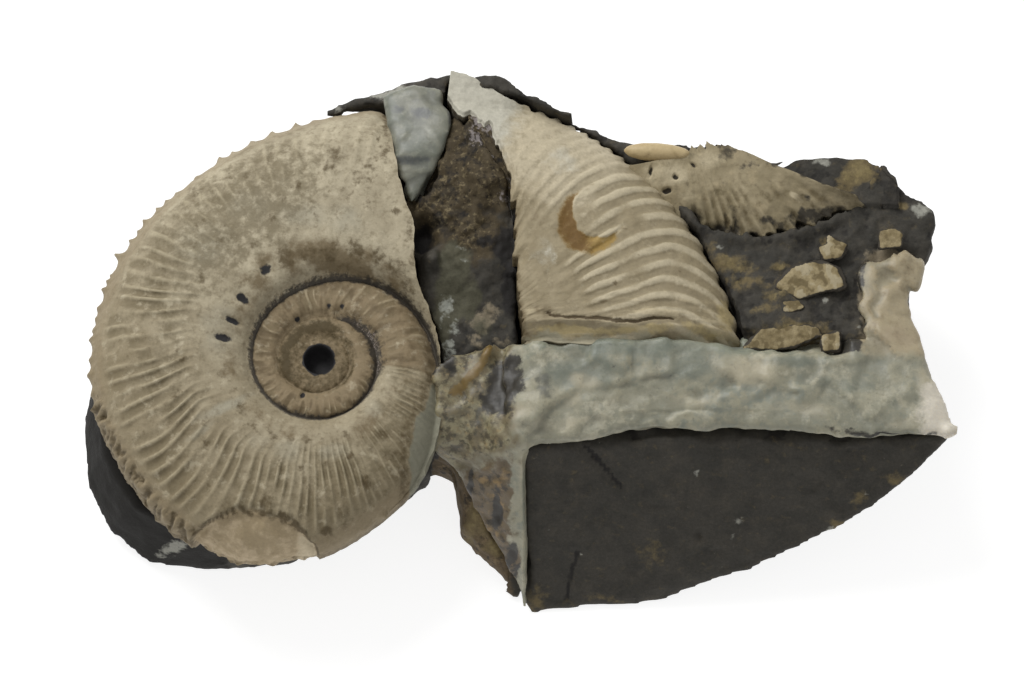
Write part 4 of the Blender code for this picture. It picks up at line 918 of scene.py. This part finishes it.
bits = {"voxel": 0.16, "swell": 0.25, "ripple": 0.3, "sunkFrom": 25.8, "flatter": 0.42, "dull": 0.55,
        "wideMiddle": (43.2, 8.2), "wider": (1.25, 1.3)}
bitShift = {"shell_sliver": (1.5, -0.9, 0.5), "shell_flake_1": (0.4, -2.9, 0.2),
            "shell_flake_2": (0.4, -3.5, 0.2), "shell_flake_3": (-2.0, -4.0, 0.1),
            "shell_flake_4": (-0.9, -3.6, 0.2), "shell_flake_5": (-0.6, -2.9, 0.2),
            "shell_flake_6": (0.6, -3.5, 0.1)}
# a thin dark line along the lens's lower edge is painted shade under it; the other spot is a stain
lensStainAndShade = spots("22.5 27.1 3.9 0.4 1 -5, 18.3 28.6 1.8 0.8 0.4")


def buildBit(node, name, material, smooth=False):
    bm = remeshed(node, bits["voxel"], 6 if smooth else 3)
    layers = markLayers(bm, "stain pale edge")
    for vert in bm.verts:
        co = vert.co.copy()
        ripple = lumps(co.x, co.y, co.z, 1.5, 4)
        place = layOut(co)
        steep = ramp(0.9, 0.4, vert.normal.z)
        co += vert.normal * (0.25 if smooth else bits["swell"] + bits["ripple"] * ripple)
        if not smooth:
            co.z = bits["sunkFrom"] + (co.z - bits["sunkFrom"]) * bits["flatter"]
            if node == "shell_flake_1":  # the broadest flake
                for axis, middle in enumerate(bits["wideMiddle"]):
                    co[axis] = middle + (co[axis] - middle) * bits["wider"][axis]
        vert.co = co + Vector(bitShift[node])
        dull = bits["dull"] if node[-1] in "36" else 0.0
        # stain: dark on steep sides and over the dull flakes; the darkening in the ripple's hollows is
        # painted shade
        stain = inSpots(place, lensStainAndShade) if smooth else max(steep, dull, ramp(0.2, -0.5, ripple))
        setMarks(vert, layers, {"stain": stain, "edge": steep * (not smooth),
                                "pale": ramp(0.0, 0.5, ripple) * (not dull)})
    finishPiece(name, bm, material, node)


# materials: each layer is mark, colour, cover, raggedness, its grain in mm, and where it starts and ends
# Fossil aragonite shell: dull, cream to beige, with brown painted shade in its rib troughs, a painted
# highlight on the rib crests, and grey where it is worn.
coilShell = weathered("creamFossilShell", {
    "body": "#aba189", "cloud": "#9b917a", "cloudMm": 6.0, "grainMm": 0.5, "grainDepth": 0.10, "lumpMm": 2.0,
    "lumpStrength": 0.3, "bump": 0.35, "rough": 0.72, "ior": 1.5, "shine": 0.3, "layers": [
        # tan: partly the shell's own tan, partly painted shade on the lower side of the coil
        ("tan", "#7d7056", 0.85, 0.6, 6.0, 0.0, 1.1),
        ("pale", "#9d9988", 0.75, 0.8, 3.0, 0.1, 0.9),
        # darker across the middle of the flank
        ("grime", "#6e644d", 0.75, 2.6, 1.5, 0.35, 1.15),
        ("inner", "#7e6e54", 0.85, 0.5, 1.4, 0.2, 0.8),
        # crest is a painted highlight on the rib crests; groove is painted shade in the rib troughs
        ("crest", "#aea388", 0.35, 0.5, 1.4, 0.1, 0.9),
        ("groove", "#62573f", 0.5, 0.9, 1.2, 0.15, 1.0),
        ("", "#756a52", 0.4, 2.6, 0.9, 0.0, 0.5),
        ("", "#c4baa1", 0.42, 2.6, 1.7, 0.1, 0.6),
        ("", "#5f5138", 0.45, 3.2, 1.2, 0.3, 0.8),
        ("rim", "#83745a", 0.5, 0.9, 1.6, 0.2, 1.0),
        ("band", "#66573d", 0.8, 1.4, 1.3, 0.2, 0.9),
        ("streak", "#584a34", 0.62, 0.9, 0.7, 0.25, 1.1),
        ("chip", "#a08f71", 0.9, 0.5, 2.0, 0.3, 0.7),
        ("chip", "#bba98c", 0.75, 2.8, 2.2, 0.8, 1.4),
        ("bright", "#c2b498", 0.9, 1.0, 1.6, 0.2, 0.8),
        # stain: brown stain spots, plus painted shade between the knobs, along the crack and along the vein's
        # edge
        ("stain", "#50432b", 0.85, 1.7, 0.9, 0.15, 0.9),
        ("veil", "#7f7e6e", 0.9, 1.0, 1.6, 0.25, 0.8),
        # hub: olive-brown round the hub with painted shade on its upper-left side, a dark ring line and a
        # dark middle
        ("hub", "#40351c", 0.9, 1.6, 0.7, 0.1, 0.9),
        # seam: dark calcite in the joint between whorls, darkened further as painted shadow in the groove
        ("seam", "#332f2a", 0.92, 1.6, 0.6, 0.2, 0.85),
        ("sparkle", "#8b7f76", 0.8, 3.0, 0.45, 0.75, 1.0),
        ("hole", "#262526", 1.0, 0.8, 0.5, 0.3, 0.7)]})

# The second shell is cleaner: pale ribs on a grey-brown ground, with an ochre scar; its ribs get a painted
# highlight on the crests and painted shade in the troughs.
flankShell = weathered("paleFossilShell", {
    "body": "#988c72", "cloud": "#877b61", "cloudMm": 4.0, "grainMm": 0.5, "grainDepth": 0.12, "lumpMm": 2.0,
    "lumpStrength": 0.3, "bump": 0.3, "rough": 0.7, "ior": 1.5, "shine": 0.3, "layers": [
        ("cream", "#b5aa91", 0.9, 1.2, 3.0, 0.1, 0.8),
        ("tan", "#9a8d6f", 0.6, 0.7, 4.0, 0.1, 1.0),
        ("", "#7c7159", 0.4, 2.6, 1.1, 0.0, 0.5),
        ("", "#bcb198", 0.35, 2.6, 2.0, 0.1, 0.6),
        # groove is painted shade in the rib troughs; crest is a painted highlight on the rib crests
        ("groove", "#857a62", 0.5, 1.0, 1.2, 0.15, 1.0),
        ("crest", "#bbb096", 0.75, 0.5, 1.0, 0.2, 0.8),
        ("pale", "#b4b1a3", 0.9, 1.0, 2.0, 0.2, 0.8),
        ("yellow", "#b3a277", 0.85, 1.2, 1.2, 0.2, 0.8),
        ("crease", "#b3a688", 0.6, 0.6, 1.0, 0.1, 0.9),
        ("veil", "#a29c86", 0.9, 2.0, 1.4, 0.2, 0.9),
        ("stain", "#5f5138", 0.8, 1.5, 1.0, 0.25, 1.0),
        ("crack", "#43351f", 0.85, 1.0, 0.7, 0.3, 0.9),
        ("hook", "#94793f", 0.9, 1.5, 0.9, 0.2, 1.0),
        ("core", "#5f4522", 0.85, 1.3, 0.9, 0.25, 1.0)]})

# The third is weathered tan: blotched, with painted shade between its ribs, black at its edge where it fades
# into the rock, and painted shade under the edge.
fanShell = weathered("tanFossilShell", {
    "body": "#998d72", "cloud": "#857a60", "cloudMm": 4.0, "grainMm": 0.5, "grainDepth": 0.12, "lumpMm": 1.8,
    "lumpStrength": 0.35, "bump": 0.35, "rough": 0.75, "ior": 1.5, "shine": 0.28, "layers": [
        ("", "#6f644b", 0.5, 2.4, 1.2, 0.0, 0.5),
        ("", "#a8997a", 0.5, 2.8, 1.8, 0.1, 0.6),
        ("", "#564a31", 0.5, 3.2, 1.5, 0.4, 0.9),
        ("pale", "#b5a98d", 0.85, 0.9, 2.0, 0.2, 0.8),
        # groove: painted shade between the ribs
        ("groove", "#5b4f35", 0.75, 0.8, 1.2, 0.1, 0.9),
        ("stain", "#51472f", 0.75, 1.4, 1.2, 0.25, 1.0),
        # dark: dark spots and the fade into the rock, plus painted shade under the outer edge
        ("dark", "#302d28", 0.92, 2.6, 1.6, 0.2, 1.0),
        ("hole", "#221d17", 0.95, 0.5, 0.5, 0.3, 0.8)]})

# Broken shell in the rock: flakes from cream to a yellow-brown tint.
flakeShell = weathered("shellFlake", {
    "body": "#9a8c6b", "cloud": "#7d6f4f", "cloudMm": 2.4, "grainMm": 0.4, "grainDepth": 0.15, "lumpMm": 1.2,
    "lumpStrength": 0.4, "bump": 0.4, "rough": 0.7, "ior": 1.5, "shine": 0.3, "layers": [
        ("pale", "#a0957a", 0.8, 0.8, 1.2, 0.2, 0.8),
        # stain: darker on steep sides and over the dull flakes, and painted shade in the hollows
        ("stain", "#5a4d30", 0.8, 1.2, 0.9, 0.3, 0.9),
        ("edge", "#35312b", 0.95, 2.0, 0.9, 0.25, 0.7)]})

# Smooth tan shell: even and faintly glossy.
lensShell = weathered("smoothTanShell", {
    "body": "#ad9870", "cloud": "#b5a27a", "cloudMm": 4.0, "grainMm": 0.5, "grainDepth": 0.07, "lumpMm": 2.0,
    "lumpStrength": 0.1, "bump": 0.1, "rough": 0.55, "ior": 1.5, "shine": 0.4, "layers": [
        ("", "#84714c", 0.4, 2.0, 1.6, 0.0, 0.5),
        # stain: a stain spot, and painted shade as a dark line along the lower edge
        ("stain", "#5c4628", 0.85, 0.8, 0.8, 0.3, 0.8)]})

# Mudstone: almost black, matt, fine-grained, browner and rougher where it is weathered.
mudstone = weathered("darkMudstone", {
    "body": "#403d37", "cloud": "#383631", "cloudMm": 4.0, "grainMm": 0.45, "grainDepth": 0.2, "lumpMm": 1.6,
    "lumpStrength": 0.5, "bump": 0.5, "rough": 0.78, "ior": 1.5, "shine": 0.25, "layers": [
        ("", "#4b463d", 0.5, 2.4, 3.0, 0.0, 0.5),
        ("brown", "#463c2a", 0.9, 0.8, 1.4, 0.1, 0.6),
        ("brown", "#75694f", 0.8, 3.4, 0.7, 1.0, 1.5),
        ("brown", "#1f1a14", 0.85, 3.4, 1.0, 1.0, 1.5),
        # low: painted shade in the hollows, in the pit and along the scratches
        ("low", "#1f1d1b", 0.75, 0.8, 1.0, 0.3, 0.9),
        ("brim", "#63543e", 0.9, 1.6, 2.2, 0.3, 0.9),
        ("brim", "#2f2b26", 0.85, 3.2, 1.2, 1.0, 1.5),
        ("brim", "#8d7a5b", 0.6, 3.2, 1.8, 1.1, 1.7),
        ("crystal", "#857e7c", 0.85, 2.6, 0.6, 0.5, 0.95),
        ("tan", "#6d6043", 0.85, 1.8, 1.3, 0.1, 0.8),
        ("tan", "#857752", 0.7, 2.4, 1.0, 0.6, 1.2),
        ("beige", "#857a66", 0.85, 1.6, 1.2, 0.25, 0.8),
        ("green", "#4f4d3e", 0.9, 0.9, 2.0, 0.2, 0.7),
        # black: black rock spots, and painted shadow on the strip beside the second shell and in the pit; it
        # also darkens the scratches
        ("black", "#22201f", 0.92, 1.2, 1.2, 0.25, 0.7),
        ("ledge", "#1b1916", 1.0, 0.7, 2.0, 0.0, 0.5),
        ("white", "#92948b", 0.85, 2.2, 0.8, 0.4, 0.95),
        ("pale", "#98978d", 0.85, 1.6, 0.8, 0.3, 0.9)]})

# Vein calcite: waxy and cloudy, pale greenish grey, letting a little light in.
calcite = weathered("cloudyCalcite", {
    "body": "#97937e", "cloud": "#888776", "cloudMm": 6.0, "grainMm": 0.6, "grainDepth": 0.08, "lumpMm": 1.6,
    "lumpStrength": 0.4, "bump": 0.25, "rough": 0.5, "ior": 1.6, "shine": 0.4, "glow": 0.25, "layers": [
        ("", "#aba58f", 0.55, 2.6, 1.7, 0.0, 0.5),
        ("", "#76776a", 0.5, 2.8, 3.0, 0.1, 0.6),
        ("", "#6e6a5a", 0.45, 3.4, 1.0, 0.3, 0.8),
        ("blue", "#7d8476", 0.6, 1.8, 4.0, 0.2, 0.9),
        ("plane", "#b0ab97", 0.7, 0.8, 1.2, 0.55, 0.8),
        ("plane", "#70766d", 0.7, -0.8, 1.2, 0.45, 0.2),
        ("green", "#6b7166", 0.75, 1.0, 3.0, 0.1, 1.0),
        ("cream", "#aba38c", 0.85, 1.2, 3.0, 0.1, 1.0),
        ("warm", "#a19478", 0.9, 1.2, 3.0, 0.2, 0.8),
        ("warm", "#8a7d62", 0.7, 3.2, 1.8, 0.9, 1.5),
        ("pink", "#998a74", 0.4, 0.8, 2.4, 0.1, 1.0),
        # low: painted shade in the hollows
        ("low", "#757668", 0.4, 0.8, 2.0, 0.2, 1.0),
        ("left", "#6b6047", 0.9, 1.6, 2.4, 0.2, 0.9),
        ("left", "#8f886b", 0.8, 3.4, 1.8, 0.7, 1.4),
        ("left", "#423b2c", 0.85, 3.4, 1.4, 0.9, 1.4),
        ("left", "#94805a", 0.6, 3.4, 1.0, 1.2, 1.7),
        ("tip", "#ccc5b6", 0.95, 1.0, 2.4, 0.2, 0.8),
        ("brown", "#5f5038", 0.95, 2.0, 1.8, 0.2, 0.8),
        ("brown", "#2c261d", 0.85, 3.4, 1.6, 0.9, 1.5),
        ("brown", "#93794c", 0.7, 3.4, 1.9, 1.0, 1.6),
        ("wedge", "#4d4f4a", 0.7, 2.4, 1.3, 0.3, 1.2),
        ("dark", "#2b2823", 0.95, 1.5, 1.1, 0.15, 0.6),
        ("sliver", "#6f5a2d", 0.92, 1.6, 0.8, 0.3, 0.9)]})

# Grey calcite: cooler and smoother than the vein, with a soft waxy shine.
wedgeCalcite = weathered("greyCalcite", {
    "body": "#77776a", "cloud": "#6a6d62", "cloudMm": 3.5, "grainMm": 0.5, "grainDepth": 0.06, "lumpMm": 1.8,
    "lumpStrength": 0.3, "bump": 0.2, "rough": 0.45, "ior": 1.6, "shine": 0.4, "glow": 0.3, "layers": [
        ("", "#8d8d7f", 0.6, 2.8, 1.4, 0.0, 0.5),
        ("pale", "#949487", 0.8, 1.4, 1.6, 0.2, 0.9),
        # low: painted shade in the hollows
        ("low", "#5c5e56", 0.5, 0.9, 1.2, 0.2, 1.0),
        # dark: darker calcite patches, and painted shadow in thin lines along both edges
        ("dark", "#484b4d", 0.75, 1.2, 1.2, 0.2, 0.9)]})

buildCoil(coilShell)
buildFlank(flankShell)
buildFan(fanShell)
buildRock(mudstone)
buildVein(calcite)
buildWedge(wedgeCalcite)
buildBit("shell_sliver", "shellSliver", lensShell, smooth=True)
for number in range(1, 7):
    buildBit(f"shell_flake_{number}", f"shellFlake{number}", flakeShell)
print("pieces built")

# floor, light and camera
studio = {"floorMm": 4000, "floorColour": "#a0a09f", "floorGlow": 0.83, "fill": 0.46, "keyWatts": 5.6,
          "keyMm": 420, "keyFrom": (-320, 430, 640), "frameMm": 153.6, "lens": 600, "elevation": 70,
          "target": (-0.9, -1.13, 14.6)}

bm = bmesh.new()
bmesh.ops.create_grid(bm, x_segments=1, y_segments=1, size=studio["floorMm"] * mm / 2)
floorMesh = bpy.data.meshes.new("floor")
bm.to_mesh(floorMesh)
bm.free()
floor = bpy.data.objects.new("floor", floorMesh)
bpy.context.scene.collection.objects.link(floor)
paper = bpy.data.materials.new("litWhitePaper")  # a light table: pale, and only faint shadows show on it
paper.use_nodes = True
paperShader = paper.node_tree.nodes["Principled BSDF"]
paperShader.inputs["Base Color"].default_value = linear(studio["floorColour"])
paperShader.inputs["Roughness"].default_value = 0.9
paperShader.inputs["Emission Color"].default_value = (1, 1, 1, 1)
paperShader.inputs["Emission Strength"].default_value = studio["floorGlow"]
floorMesh.materials.append(paper)

world = bpy.data.worlds.new("studio")
world.use_nodes = True
world.node_tree.nodes["Background"].inputs["Color"].default_value = (1, 1, 1, 1)
world.node_tree.nodes["Background"].inputs["Strength"].default_value = studio["fill"]
bpy.context.scene.world = world
bpy.context.scene.view_settings.view_transform = "Standard"


def aimed(name, data, place, target):
    thing = bpy.data.objects.new(name, data)
    bpy.context.scene.collection.objects.link(thing)
    thing.location = Vector(place) * mm
    thing.rotation_euler = (Vector(target) - Vector(place)).to_track_quat("-Z", "Y").to_euler()
    return thing


keyLight = bpy.data.lights.new("softbox", "AREA")
keyLight.size = studio["keyMm"] * mm
keyLight.energy = studio["keyWatts"]
aimed("softbox", keyLight, studio["keyFrom"], studio["target"])

camera = bpy.data.cameras.new("camera")
camera.lens = studio["lens"]
camera.clip_end = 100
tilt = math.radians(studio["elevation"])
away = studio["lens"] / camera.sensor_width * studio["frameMm"]
target = Vector(studio["target"])
seen = target + Vector((0, -math.cos(tilt), math.sin(tilt))) * away
bpy.context.scene.camera = aimed("camera", camera, seen, target)
print("studio ready")
